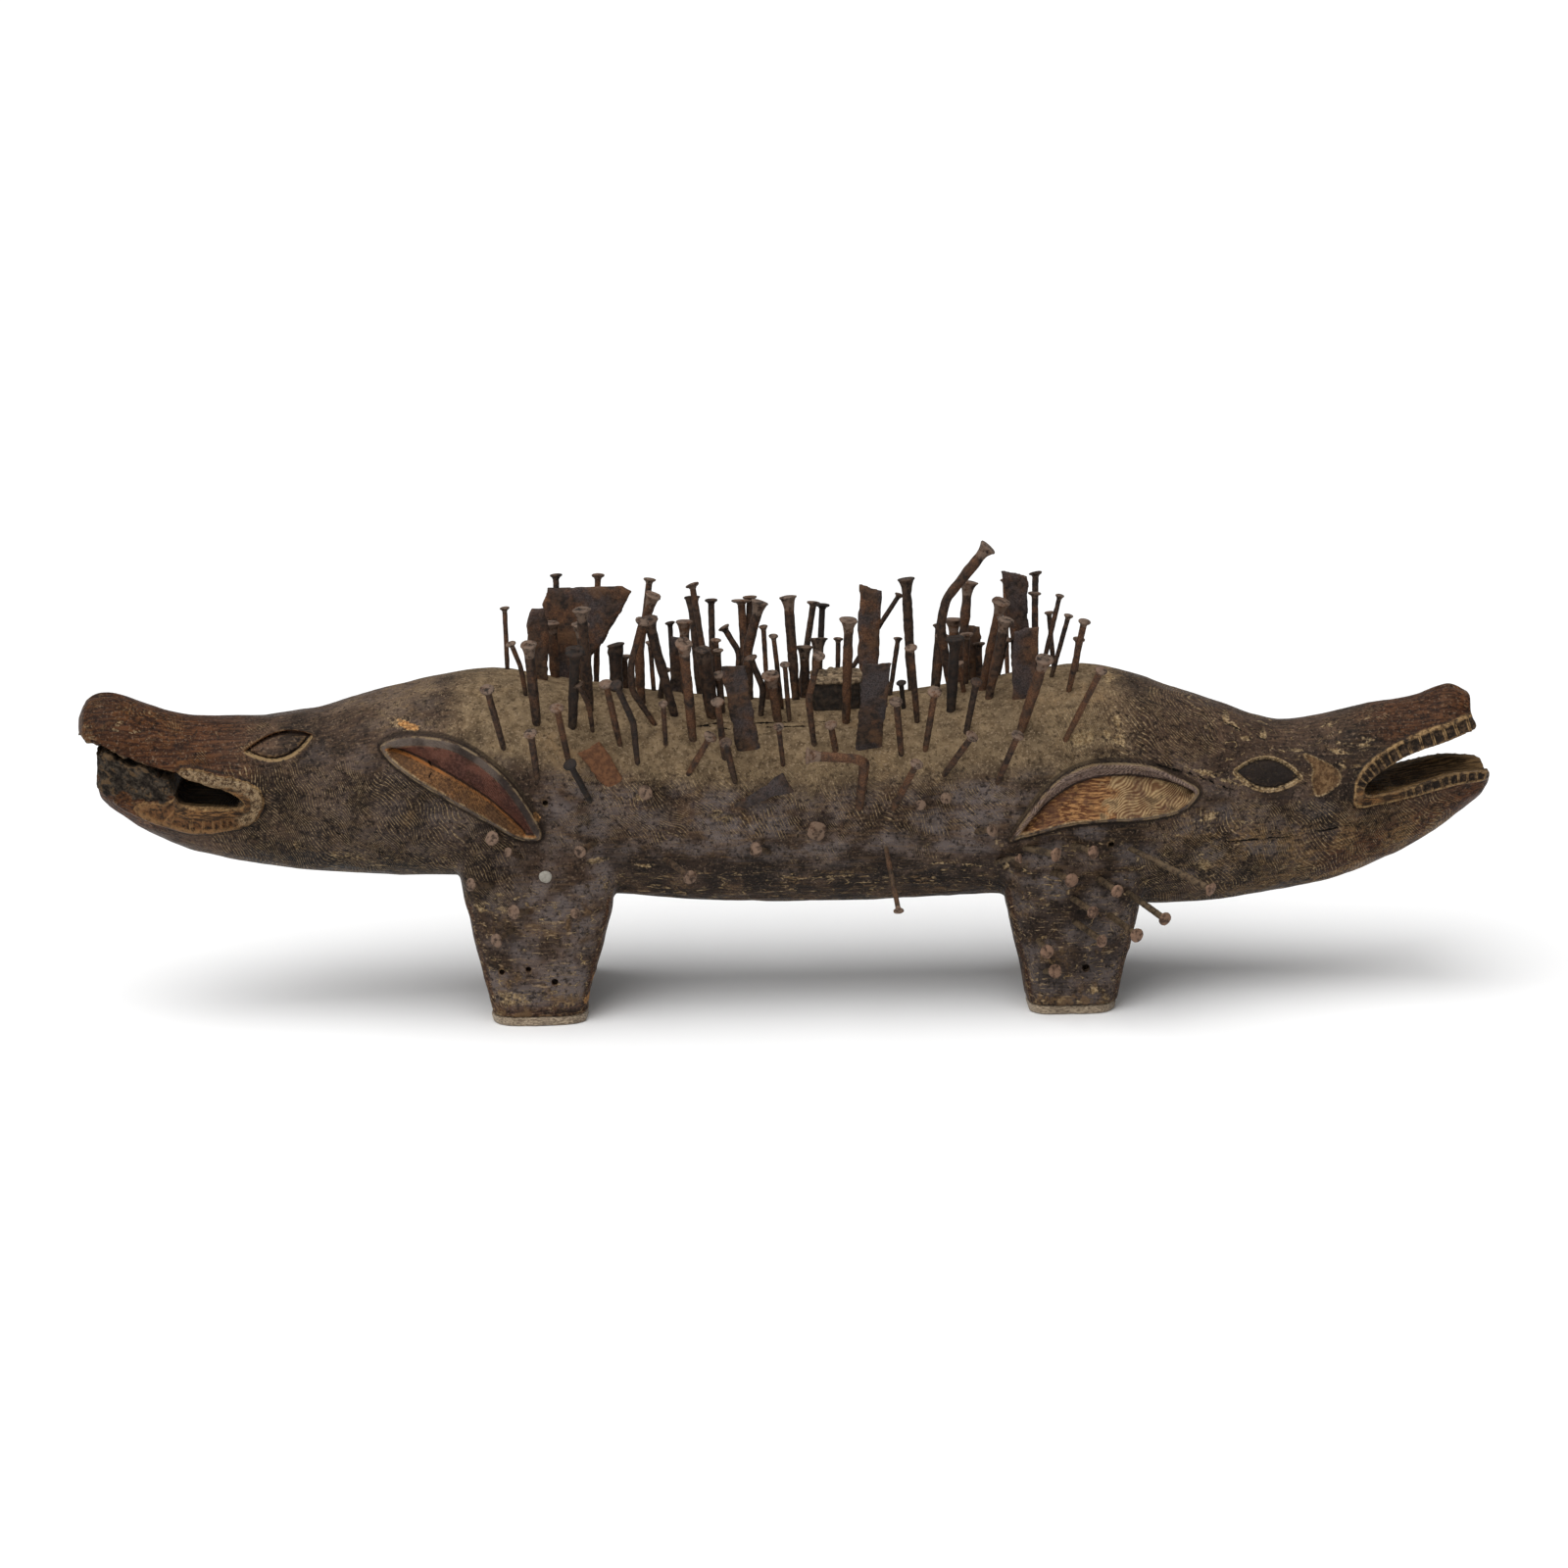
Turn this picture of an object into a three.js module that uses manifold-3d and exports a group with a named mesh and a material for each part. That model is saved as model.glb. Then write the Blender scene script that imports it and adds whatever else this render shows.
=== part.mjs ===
// Two-headed power figure: a long animal carved from one block of wood, with a head at each end,
// four short legs on felt pads, iron nails and blades driven into it, and a medicine pack on its back.
// Millimetres, +Z up, +X along the body, the better seen side towards -Y.
import * as THREE from 'three';
import { mergeVertices } from 'three/addons/utils/BufferGeometryUtils.js';
import Module from 'manifold-3d';

const wasm = await Module();
wasm.setup();

// Driving dimensions
const figureLength = 900;
const restGap = 0.3;         // between pieces that touch
const feltThickness = 6;
const feltInset = 1;         // felt edge behind the edge of the wooden sole
const earRise = 4;           // ear rim above the shoulder
const earHollow = 2.5;       // ear hollow below the shoulder
const earRim = 5.5;          // breadth of the ear rim
const lipRise = 2.5;         // tooth band above the cheek
const toothPitch = 7.2;
const toothNotch = 1.5;      // breadth of the notch between two teeth
const toothRoot = 0.6;       // the notch stops this far above the cheek
const eyeRim = 2.2;
const eyeRise = 1.6;
const eyeSocket = 1.4;
const troughDepth = 7;       // hollow along the top of a lower jaw
const jawWall = 8;           // wood left on each side of that hollow
const nostrilGroove = 3;     // radius of the groove between the nostrils
const seamLength = 66;       // edge of the strip let into the back
const seamBreadth = 2.4;
const seamDepth = 4;
const packLength = 33;
const packWidth = 36;
const packHeight = 20;
const packSunk = 3;          // seat of the pack below the ridge of the back
const packBevel = 1.5;
const nailDriven = 16;       // length of a nail inside the wood
const bladeDriven = 12;
const holeReach = 12;        // a hole is cut this far out along its nail, through any slope
const sliver = 0.05;         // cuts leave no edge shorter than this
const trunkSections = 33;
const trunkSides = 22;
const nailSides = 5;

// Iron nails: diameter of the shank, diameter of the head, thickness of the head
const nailKinds = {
  slim: { shank: 3.2, head: 6, cap: 1.6 },
  common: { shank: 4, head: 8, cap: 2 },
  heavy: { shank: 5.2, head: 10, cap: 2.4 },
  spike: { shank: 8, head: 10, cap: 3 },
  capped: { shank: 5, head: 13, cap: 2 },
};
const pointShare = 0.6;      // a shank narrows to this share of its diameter at the point
const capShare = 0.85;       // and a hammered head to this share at its top

// The carving keeps its proportions, in percent of the figure's length. Heights are above the
// wooden soles.
const unit = figureLength / 100;

// Trunk: place along, height of the axis, half height, half breadth
const trunkStations = [
  [-50, 19.2, 1.9, 1.7],
  [-49.5, 19.1, 3.0, 2.6],
  [-48.6, 18.7, 3.85, 3.0],
  [-47.3, 18.1, 4.4, 3.3],
  [-45.2, 17.0, 4.6, 3.7],
  [-41.7, 15.8, 4.9, 4.3],
  [-34.8, 15.2, 5.6, 5.1],
  [-27.8, 15.8, 6.7, 6.6],
  [-20.9, 16.25, 7.3, 7.5],
  [-13.9, 15.05, 7.4, 7.2],
  [-4.2, 13.9, 7.25, 6.9],
  [5.6, 13.75, 7.25, 6.9],
  [13.9, 14.35, 7.6, 7.2],
  [18.1, 14.6, 8.1, 7.5],
  [21.6, 14.55, 8.4, 7.7],
  [25, 14.0, 8.2, 7.3],
  [27.8, 13.45, 7.7, 6.7],
  [31.3, 12.9, 7.0, 5.9],
  [34.8, 12.6, 6.2, 5.2],
  [38.3, 13.0, 6.0, 4.7],
  [41.7, 13.95, 5.85, 4.1],
  [45.2, 15.1, 5.3, 3.6],
  [47.3, 16.15, 4.95, 3.2],
  [48.7, 16.4, 4.1, 2.9],
  [49.6, 16.5, 3.5, 2.6],
  [50, 16.5, 2.7, 2.1],
];
const trunkRoundness = 2.25;

// Legs: height, place along, half length, outer side and inner side from the middle plane
const legRoundness = 3.4;
const leftLeg = [
  [13.2, -17.7, 5.9, 6.3, 0.9],
  [10, -17.6, 5.6, 6.85, 1.0],
  [6, -17.6, 4.85, 7.0, 1.2],
  [2, -17.75, 3.85, 7.0, 1.4],
  [0, -17.8, 3.5, 6.9, 1.6],
];
const rightLeg = [
  [13.2, 20.3, 5.4, 6.4, 0.9],
  [10, 20.25, 5.2, 6.95, 1.0],
  [6, 20.25, 4.6, 7.1, 1.2],
  [2, 20.15, 3.65, 7.0, 1.4],
  [0, 20.05, 3.25, 6.9, 1.6],
];

// Outlines seen from the side: place along, height
const leftEar = [[-28.2, 20.0], [-26.4, 20.6], [-23.7, 20.5], [-21.8, 19.8], [-20.0, 18.5], [-18.5, 16.7],
  [-17.2, 14.2], [-17.4, 13.2], [-18.9, 13.4], [-20.9, 14.7], [-23.7, 16.4], [-26.4, 18.0], [-27.9, 19.2]];
const rightEar = [[15.7, 12.5], [16.8, 14.3], [18.0, 15.9], [19.3, 17.1], [21.1, 17.9], [23.1, 18.0],
  [25.6, 17.6], [27.5, 16.7], [29.0, 15.7], [28.7, 14.9], [27.5, 14.1], [25.0, 13.8], [22.4, 13.8],
  [19.9, 13.6], [18.0, 13.1], [16.5, 12.7]];
const leftMouth = [[-51, 20.2], [-48.9, 19.7], [-46.3, 18.65], [-44.3, 18.05], [-43.1, 17.75], [-42.2, 17.4],
  [-40.6, 16.9], [-39.2, 16.5], [-38.5, 16.05], [-38.1, 15.65], [-38.35, 15.35], [-39.2, 15.2], [-41.0, 15.15],
  [-42.4, 15.35], [-42.95, 15.8], [-43.5, 17.05], [-44.4, 17.5], [-45.8, 18.0], [-48.4, 19.05], [-51, 19.5]];
const rightMouth = [[51, 18.8], [48.6, 18.45], [46.7, 17.8], [44.3, 17.05], [42.8, 16.35], [41.7, 15.65],
  [41.0, 14.95], [40.95, 14.4], [41.6, 14.2], [43.6, 14.5], [45.4, 14.95], [47.2, 15.4], [48.9, 15.45],
  [51, 15.5]];
const leftBand = [[-42.6, 18.0], [-40.2, 17.75], [-38.2, 17.3], [-37.0, 16.6], [-36.7, 15.7], [-37.0, 14.9],
  [-37.8, 14.1], [-39.3, 13.55], [-41.8, 13.25], [-44.1, 13.8], [-46.2, 14.5], [-46.2, 15.6], [-42.9, 15.6]];
const rightBand = [[48.9, 19.5], [46.7, 19.0], [44.8, 18.45], [43.0, 17.7], [41.2, 16.6], [40.35, 15.5],
  [40.15, 14.5], [40.35, 13.45], [42, 13.6], [43.6, 13.85], [45.9, 14.3], [47.5, 14.6], [50.2, 14.9],
  [50.2, 16], [48.9, 17]];
const barReach = 14;         // what is cut from the side reaches this far to both sides
const upperJawEnd = { along: 49.0, above: 17.0 };
const lowerJawEnd = { along: -48.7, below: 19.6 };

// Eyes: middle, half length, half height, slope in degrees
const leftEye = { along: -35.65, height: 19.4, reach: 2.4, rise: 0.8, slope: 12 };
const rightEye = { along: 34.0, height: 16.15, reach: 2.4, rise: 1.05, slope: -9 };

// Things on the back: place along, and turn from the ridge towards the near side in degrees
const packPlace = 3.8;
const seamPlace = { along: -0.6, turn: 26 };

// Iron driven into the wood. Each row gives the place along in percent, then the turn from the ridge
// down the near side, the tilt of the iron towards the near side and its lean to the right in
// degrees, and the length that shows in millimetres. A bend gives the share of that length at which
// the shank changes to another lean.
const nailRows = {
  slim: [
    [-19.6, -14, -7, -1, 40],
    [3.3, -38, -19, 34, 85],
    [18.5, -8, -4, 14, 49],
    [7.0, 106, 130, 8, 48],
  ],
  common: [
    [-19.6, 61, 30, -8, 53],
    [-13.4, -34, -17, 2, 72],
    [-13.7, 82, 41, -14, 43],
    [-17.3, 74, 37, -2, 46],
    [-15.1, 62, 31, -6, 49],
    [-11.5, 49, 24, -8, 50],
    [-10.3, 58, 29, -2, 70, [[0.5, -16]]],
    [-10.5, -30, -15, 8, 72],
    [-9.1, 33, 16, -28, 80, [[0.35, 0], [0.6, 15]]],
    [-5.2, -32, -16, -8, 75],
    [-4.2, 51, 25, -4, 47],
    [-6.7, 61, 30, 24, 36],
    [1.1, -32, -16, 10, 65],
    [2.1, 42, 21, -5, 70, [[0.5, 12]]],
    [9.4, 32, 16, -4, 55],
    [12.8, 43, 21, 9, 40],
    [11.2, 65, 32, 26, 39],
    [7.6, 81, 40, 16, 51],
    [18.1, -34, -17, 2, 66],
    [20.1, 25, 12, 11, 50],
    [19.7, 53, 26, 20, 61],
    [24.2, 110, 105, 43, 69],
    [24.0, 132, 95, 24, 50],
    [22.7, 138, 95, 24, 37],
  ],
  heavy: [
    [-17.3, 44, 22, -2, 61],
    [-13.6, 28, 14, -2, 72],
    [-14.8, 42, 21, 4, 58],
    [-10.0, 16, 8, -1, 75, [[0.55, 18]]],
    [-6.9, -10, -5, 0, 47],
    [-6.4, 41, 20, -3, 73],
    [-2.4, -6, -3, -1, 64, [[0.5, 16]]],
    [0.9, -6, -3, -3, 67],
    [4.4, 27, 14, 2, 73],
    [5.2, 78, 24, 6, 72, [[0.48, -58], [0.56, -84]]],
    [9.2, -12, -6, -2, 72],
    [11.9, 10, 5, -8, 108, [[0.43, 12], [0.6, 38]]],
    [12.6, -14, -7, 6, 65],
    [14.1, 10, 5, 12, 60],
    [16.6, 46, 23, 14, 58],
  ],
  spike: [
    [-5.0, 22, 11, -6, 47],
  ],
  capped: [
    [-2.6, -28, -14, -2, 64],
  ],
};

// Blades: the same placing, then thickness, breadth at the wood, and the outline of what shows as
// pairs of sideways place and height in millimetres, from the right side over the top to the left
const bladeRows = {
  broken_plate: {
    place: [-15.2, -24, -12, 0], thickness: 2.5, root: 24, face: 6,
    outline: [[14, 15], [22, 23], [30, 37], [41, 55.5], [35, 59.5], [-13, 59.5], [-17, 48], [-12, 16]],
  },
  flank_flake: {
    place: [-12.0, 70, 6, -33], thickness: 2, root: 14, face: 10,
    outline: [[8, 27], [-7, 28]],
  },
  front_strip: {
    place: [-2.5, 45, 22, -8], thickness: 2.5, root: 15, face: 4,
    outline: [[8, 63], [-7, 67]],
  },
  tall_strip: {
    place: [6.0, -24, -12, 4], thickness: 2.5, root: 13, face: -6,
    outline: [[7, 68], [-8.5, 71]],
  },
  near_strip: {
    place: [5.9, 46, 23, 5], thickness: 2.5, root: 17, face: 5,
    outline: [[9, 68], [-9, 67]],
  },
  flared_strip: {
    place: [17.0, -12, -6, -3], thickness: 2.5, root: 12, face: -8,
    outline: [[7, 38], [8.5, 62], [-8, 65], [-6, 35]],
  },
  short_strip: {
    place: [16.9, 26, 13, 2], thickness: 2.5, root: 15, face: 0,
    outline: [[8, 50], [-8, 47]],
  },
  flank_spike: {
    place: [-3.0, 77, 34, 56], thickness: 3, root: 7, face: 12,
    outline: [[3.5, 13], [7, 34], [-8, 36], [-3.5, 13]],
  },
  small_plate: {
    place: [13.6, -26, -13, 0], thickness: 2, root: 11, face: 0,
    outline: [[6, 36], [-6, 37]],
  },
};

// Materials
const wood = new THREE.MeshStandardMaterial({ color: 0x2e2620, roughness: 0.6, metalness: 0 });
const felt = new THREE.MeshStandardMaterial({ color: 0x8f8676, roughness: 1, metalness: 0 });
const clay = new THREE.MeshStandardMaterial({ color: 0x6a5c48, roughness: 0.95, metalness: 0 });
const iron = new THREE.MeshStandardMaterial({ color: 0x4a3026, roughness: 0.8, metalness: 0.4 });

// A closed skin over rings of points; each ring turns anticlockwise about the way the rings go
function skin(rings) {
  const sides = rings[0].length;
  const position = rings.flat().flatMap((point) => point.toArray());
  const index = [];
  for (let i = 0; i < rings.length - 1; i += 1) {
    for (let j = 0; j < sides; j += 1) {
      const a = i * sides + j;
      const b = i * sides + (j + 1) % sides;
      index.push(a, b, b + sides, a, b + sides, a + sides);
    }
  }
  const last = (rings.length - 1) * sides;
  for (let j = 1; j < sides - 1; j += 1) {
    index.push(0, j + 1, j);
    index.push(last, last + j, last + j + 1);
  }
  const geometry = new THREE.BufferGeometry();
  geometry.setAttribute('position', new THREE.Float32BufferAttribute(position, 3));
  geometry.setIndex(index);
  return geometry;
}

// A closed geometry as a solid that can be joined and cut
function solid(geometry) {
  const bare = geometry.clone();
  bare.deleteAttribute('normal');
  bare.deleteAttribute('uv');
  const merged = mergeVertices(bare, 1e-4);
  const mesh = new wasm.Mesh({
    numProp: 3,
    vertProperties: new Float32Array(merged.attributes.position.array),
    triVerts: new Uint32Array(merged.index.array),
  });
  return new wasm.Manifold(mesh);
}

function geometryOf(body) {
  const mesh = body.getMesh();
  const geometry = new THREE.BufferGeometry();
  geometry.setAttribute('position', new THREE.BufferAttribute(mesh.vertProperties, 3));
  geometry.setIndex(new THREE.BufferAttribute(mesh.triVerts, 1));
  return geometry;
}

const degrees = THREE.MathUtils.degToRad;
const power = (value, exponent) => Math.sign(value) * Math.abs(value) ** exponent;

// Smooth curve through a table whose first column rises; returns the other columns
function smoothAt(table, place) {
  let i = table.findIndex((row) => row[0] > place) - 1;
  if (i < 0) i = place < table[0][0] ? 0 : table.length - 2;
  const [before, from, to, after] = [i - 1, i, i + 1, i + 2].map((k) => (
    table[THREE.MathUtils.clamp(k, 0, table.length - 1)]));
  const span = to[0] - from[0];
  const t = THREE.MathUtils.clamp((place - from[0]) / span, 0, 1);
  return from.slice(1).map((value, k) => {
    const c = k + 1;
    const slopeFrom = (to[c] - before[c]) / (to[0] - before[0]) * span;
    const slopeTo = (after[c] - from[c]) / (after[0] - from[0]) * span;
    const rest = to[c] - value;
    const bend = 3 * rest - 2 * slopeFrom - slopeTo;
    return value + t * (slopeFrom + t * (bend + t * (slopeFrom + slopeTo - 2 * rest)));
  });
}

// Sections lie closer together towards the two snouts
function sectionPlace(i) {
  const even = i / (trunkSections - 1) * 2 - 1;
  return 50 * Math.sin(even * Math.PI / 2 * 0.8) / Math.sin(Math.PI / 2 * 0.8);
}

// The trunk with its surface moved out by rise
function trunk(rise) {
  const rings = [];
  for (let i = 0; i < trunkSections; i += 1) {
    const along = sectionPlace(i);
    const [height, tall, broad] = smoothAt(trunkStations, along);
    const ring = [];
    for (let j = 0; j < trunkSides; j += 1) {
      const turn = (j / trunkSides) * 2 * Math.PI;
      const across = power(Math.cos(turn), 2 / trunkRoundness) * (broad * unit + rise);
      const up = power(Math.sin(turn), 2 / trunkRoundness) * (tall * unit + rise);
      ring.push(new THREE.Vector3(along * unit, across, height * unit + up));
    }
    rings.push(ring);
  }
  return solid(skin(rings));
}

// One ring of a leg; side is -1 for the near leg and 1 for the far one
function legRing([height, along, reach, outer, inner], side, inset = 0, sides = 12) {
  const ring = [];
  const middle = side * (outer + inner) / 2 * unit;
  const breadth = (outer - inner) / 2 * unit - inset;
  for (let j = 0; j < sides; j += 1) {
    const turn = ((j + 0.5) / sides) * 2 * Math.PI;
    const x = along * unit + power(Math.cos(turn), 2 / legRoundness) * (reach * unit - inset);
    const y = middle + power(Math.sin(turn), 2 / legRoundness) * breadth;
    ring.push(new THREE.Vector3(x, y, height * unit));
  }
  return ring;
}

const leg = (rows, side) => solid(skin([...rows].reverse().map((row) => legRing(row, side))));

// A straight bar across the whole figure, with the outline given as it is seen from the side
function sideBar(outline) {
  const shape = new THREE.Shape(outline.map(([along, height]) => new THREE.Vector2(along * unit, height * unit)));
  const geometry = new THREE.ExtrudeGeometry(shape, { depth: 2 * barReach * unit, bevelEnabled: false });
  geometry.rotateX(Math.PI / 2);
  geometry.translate(0, barReach * unit, 0);
  return solid(geometry);
}

// The outline moved inwards by a distance in millimetres; what comes too near another edge is left out
function insetOutline(outline, distance) {
  const ring = outline.map(([x, y]) => new THREE.Vector3(x * unit, y * unit, 0));
  const edges = ring.map((point, i) => new THREE.Line3(point, ring[(i + 1) % ring.length]));
  const inwardSide = THREE.ShapeUtils.area(ring) < 0 ? 1 : -1;
  const moved = ring.map((point, i) => {
    const way = edges[i].end.clone().sub(ring[(i + ring.length - 1) % ring.length]).normalize();
    return point.clone().add(new THREE.Vector3(way.y, -way.x, 0).multiplyScalar(inwardSide * distance));
  });
  const nearest = new THREE.Vector3();
  const isClear = (point) => edges.every((edge) => (
    edge.closestPointToPoint(point, true, nearest).distanceTo(point) > distance * 0.85));
  return moved.filter(isClear).map((point) => [point.x / unit, point.y / unit]);
}

function almond({ along, height, reach, rise, slope }, grow = 0) {
  const points = [];
  const steps = 5;
  for (const side of [1, -1]) {
    for (let i = 0; i < steps; i += 1) {
      const t = (i / steps) * 2 - 1;
      const x = side * t * (reach + grow / unit * 1.6);
      const y = side * (1 - t * t) * (rise + grow / unit);
      points.push(new THREE.Vector2(x, y).rotateAround(new THREE.Vector2(), degrees(slope)));
    }
  }
  return points.map((point) => [along + point.x, height + point.y]);
}

// A relief stands out from the trunk inside an outline, and a recess goes in
const relief = (outline, rise) => sideBar(outline).intersect(trunk(rise));
const recess = (outline, depth) => sideBar(outline).subtract(trunk(-depth));

function ear(body, outline) {
  return body
    .add(relief(outline, earRise))
    .subtract(recess(insetOutline(outline, earRim), earHollow));
}

function eye(body, place) {
  return body
    .add(relief(almond(place, eyeRim), eyeRise))
    .subtract(recess(almond(place), eyeSocket))
    .add(relief(almond(place, -eyeRim), 0));
}

// Notches between the teeth, cut into the raised band only
function toothNotches(from, to, low, high) {
  const count = Math.floor(Math.abs(to - from) * unit / toothPitch);
  let notches = null;
  for (let i = 0; i < count; i += 1) {
    const along = from + Math.sign(to - from) * (i + 0.5) * toothPitch / unit;
    const share = (along - from) / (to - from);
    const bottom = THREE.MathUtils.lerp(low[0], low[1], share);
    const top = THREE.MathUtils.lerp(high[0], high[1], share);
    const half = toothNotch / unit / 2;
    const bar = sideBar([[along - half, bottom], [along + half, bottom], [along + half, top], [along - half, top]]);
    notches = notches ? notches.add(bar) : bar;
  }
  return notches.subtract(trunk(toothRoot));
}

function box(size, middle) {
  return solid(new THREE.BoxGeometry(size.x, size.y, size.z).translate(middle.x, middle.y, middle.z));
}

// The hollow along the top of a lower jaw
function jawTrough(from, to, height) {
  const rings = [];
  const steps = 4;
  for (let i = 0; i <= steps; i += 1) {
    const along = THREE.MathUtils.lerp(from, to, i / steps);
    const [, , broad] = smoothAt(trunkStations, along);
    const ring = [];
    for (let j = 0; j < 10; j += 1) {
      const turn = (j / 10) * 2 * Math.PI;
      const y = Math.cos(turn) * (broad * unit - jawWall);
      const z = (THREE.MathUtils.lerp(height[0], height[1], i / steps)) * unit + Math.sin(turn) * troughDepth;
      ring.push(new THREE.Vector3(along * unit, y, z));
    }
    rings.push(ring);
  }
  return solid(skin(rings));
}

function groove(from, to, radius) {
  const rings = [from, to].map((point) => {
    const ring = [];
    for (let j = 0; j < 8; j += 1) {
      const turn = (j / 8) * 2 * Math.PI;
      ring.push(new THREE.Vector3(point.x, point.y + Math.cos(turn) * radius, point.z + Math.sin(turn) * radius));
    }
    return ring;
  });
  return solid(skin(rings));
}

function ridgeHeight(along) {
  const [height, tall] = smoothAt(trunkStations, along);
  return (height + tall) * unit;
}

function carving() {
  let body = trunk(0);
  for (const side of [-1, 1]) {
    body = body.add(leg(leftLeg, side)).add(leg(rightLeg, side));
  }
  body = ear(body, leftEar);
  body = ear(body, rightEar);
  body = eye(body, leftEye);
  body = eye(body, rightEye);
  body = body.add(relief(leftBand, lipRise)).add(relief(rightBand, lipRise));
  body = body.subtract(toothNotches(41.6, 48.9, [16.2, 18.6], [17.4, 19.6]));
  body = body.subtract(toothNotches(42.0, 49.6, [13.6, 14.5], [14.4, 15.9]));
  body = body.subtract(toothNotches(-38.4, -45.4, [13.6, 14.3], [14.5, 15.3]));
  body = body.subtract(sideBar(leftMouth)).subtract(sideBar(rightMouth));
  body = body.subtract(jawTrough(42.6, 51, [14.6, 15.9])).subtract(jawTrough(-43.6, -38.8, [15.4, 15.2]));
  body = body.subtract(sideBar([[upperJawEnd.along, upperJawEnd.above], [52, upperJawEnd.above], [52, 26],
    [upperJawEnd.along, 26]]));
  body = body.subtract(sideBar([[-52, 10], [lowerJawEnd.along, 10], [lowerJawEnd.along, lowerJawEnd.below],
    [-52, lowerJawEnd.below]]));
  for (const end of [-1, 1]) {
    const tip = new THREE.Vector3(end * 50.5 * unit, 0, ridgeHeight(end * 48) + nostrilGroove * 0.4);
    const back = new THREE.Vector3(end * 46.5 * unit, 0, ridgeHeight(end * 46.5) + nostrilGroove);
    body = body.subtract(end > 0 ? groove(back, tip, nostrilGroove) : groove(tip, back, nostrilGroove));
  }
  return body;
}

const seamDirection = (turn) => new THREE.Vector3(0, -Math.sin(degrees(turn)), Math.cos(degrees(turn)));

// The way a nail or blade points out of the wood
function pointing(tilt, lean) {
  const side = Math.cos(degrees(lean));
  return new THREE.Vector3(Math.sin(degrees(lean)), -side * Math.sin(degrees(tilt)), side * Math.cos(degrees(tilt)));
}

// Where the surface lies, going out from the axis of the trunk with a turn from the ridge
function surfacePoint(mesh, along, turn) {
  const [height] = smoothAt(trunkStations, along);
  const axis = new THREE.Vector3(along * unit, 0, height * unit);
  const hits = new THREE.Raycaster(axis, seamDirection(turn)).intersectObject(mesh);
  return hits[hits.length - 1].point;
}

function roundRing(middle, way, radius) {
  const turned = new THREE.Quaternion().setFromUnitVectors(new THREE.Vector3(0, 0, 1), way);
  const ring = [];
  for (let j = 0; j < nailSides; j += 1) {
    const turn = (j / nailSides) * 2 * Math.PI;
    const spoke = new THREE.Vector3(Math.cos(turn) * radius, Math.sin(turn) * radius, 0);
    ring.push(spoke.applyQuaternion(turned).add(middle));
  }
  return ring;
}

// Points and directions of a shank, from the surface to its end
function shankPath(root, [, , tilt, lean, shows, bends = []]) {
  const path = [{ point: root, way: pointing(tilt, lean) }];
  let way = path[0].way;
  let from = 0;
  for (const [share, nextLean] of [...bends, [1, null]]) {
    const point = path[path.length - 1].point.clone().addScaledVector(way, (share - from) * shows);
    const next = nextLean === null ? way : pointing(tilt, nextLean);
    path.push({ point, way: way.clone().add(next).normalize() });
    way = next;
    from = share;
  }
  return path;
}

function nail(kind, root, row) {
  const { shank, head, cap } = nailKinds[kind];
  const path = shankPath(root, row);
  const start = path[0];
  const end = path[path.length - 1];
  const rings = [roundRing(start.point.clone().addScaledVector(start.way, -nailDriven), start.way, shank / 2 * pointShare)];
  for (const { point, way } of path.slice(1, -1)) rings.push(roundRing(point, way, shank / 2));
  const back = (distance) => end.point.clone().addScaledVector(end.way, -distance);
  rings.push(roundRing(back(cap * 1.5), end.way, shank / 2));
  rings.push(roundRing(back(cap), end.way, head / 2));
  rings.push(roundRing(end.point, end.way, head / 2 * capShare));
  return skin(rings);
}

// The hole follows the shank with a gap all round
function nailHole(kind, root, row) {
  const { shank } = nailKinds[kind];
  const way = pointing(row[2], row[3]);
  const room = restGap / Math.cos(Math.PI / nailSides);
  const bottom = root.clone().addScaledVector(way, -nailDriven - restGap);
  const top = root.clone().addScaledVector(way, holeReach);
  return solid(skin([roundRing(bottom, way, shank / 2 * pointShare + room), roundRing(top, way, shank / 2 + room)]));
}

// Turns a blade drawn with Y along its length and Z out of its face into its place
function bladeTurn([, , tilt, lean], face) {
  const way = pointing(tilt, lean);
  const out = new THREE.Vector3(Math.sin(degrees(face)), -Math.cos(degrees(face)), 0);
  out.addScaledVector(way, -out.dot(way)).normalize();
  return new THREE.Matrix4().makeBasis(way.clone().cross(out), way, out);
}

function blade({ place, thickness, root, face, outline }, point) {
  const points = [[root / 2 * 0.7, -bladeDriven], [root / 2, 0], ...outline, [-root / 2, 0], [-root / 2 * 0.7, -bladeDriven]];
  const shape = new THREE.Shape(points.map(([x, y]) => new THREE.Vector2(x, y)));
  const geometry = new THREE.ExtrudeGeometry(shape, { depth: thickness, bevelEnabled: false });
  geometry.translate(0, 0, -thickness / 2);
  return geometry.applyMatrix4(bladeTurn(place, face)).translate(point.x, point.y, point.z);
}

function bladeSlot({ place, thickness, root, face }, point) {
  const length = bladeDriven + restGap + holeReach;
  const geometry = new THREE.BoxGeometry(root + 2 * restGap, length, thickness + 2 * restGap);
  geometry.translate(0, length / 2 - bladeDriven - restGap, 0);
  return solid(geometry.applyMatrix4(bladeTurn(place, face)).translate(point.x, point.y, point.z));
}

// The medicine pack: a block with worn edges
function medicinePack() {
  const shape = new THREE.Shape();
  const [x, y] = [packLength / 2 - packBevel, packWidth / 2 - packBevel];
  shape.moveTo(-x, -y).lineTo(x, -y).lineTo(x, y).lineTo(-x, y);
  return new THREE.ExtrudeGeometry(shape, {
    depth: packHeight - 2 * packBevel, bevelThickness: packBevel, bevelSize: packBevel, bevelSegments: 1,
  }).translate(0, 0, packBevel);
}

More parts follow.
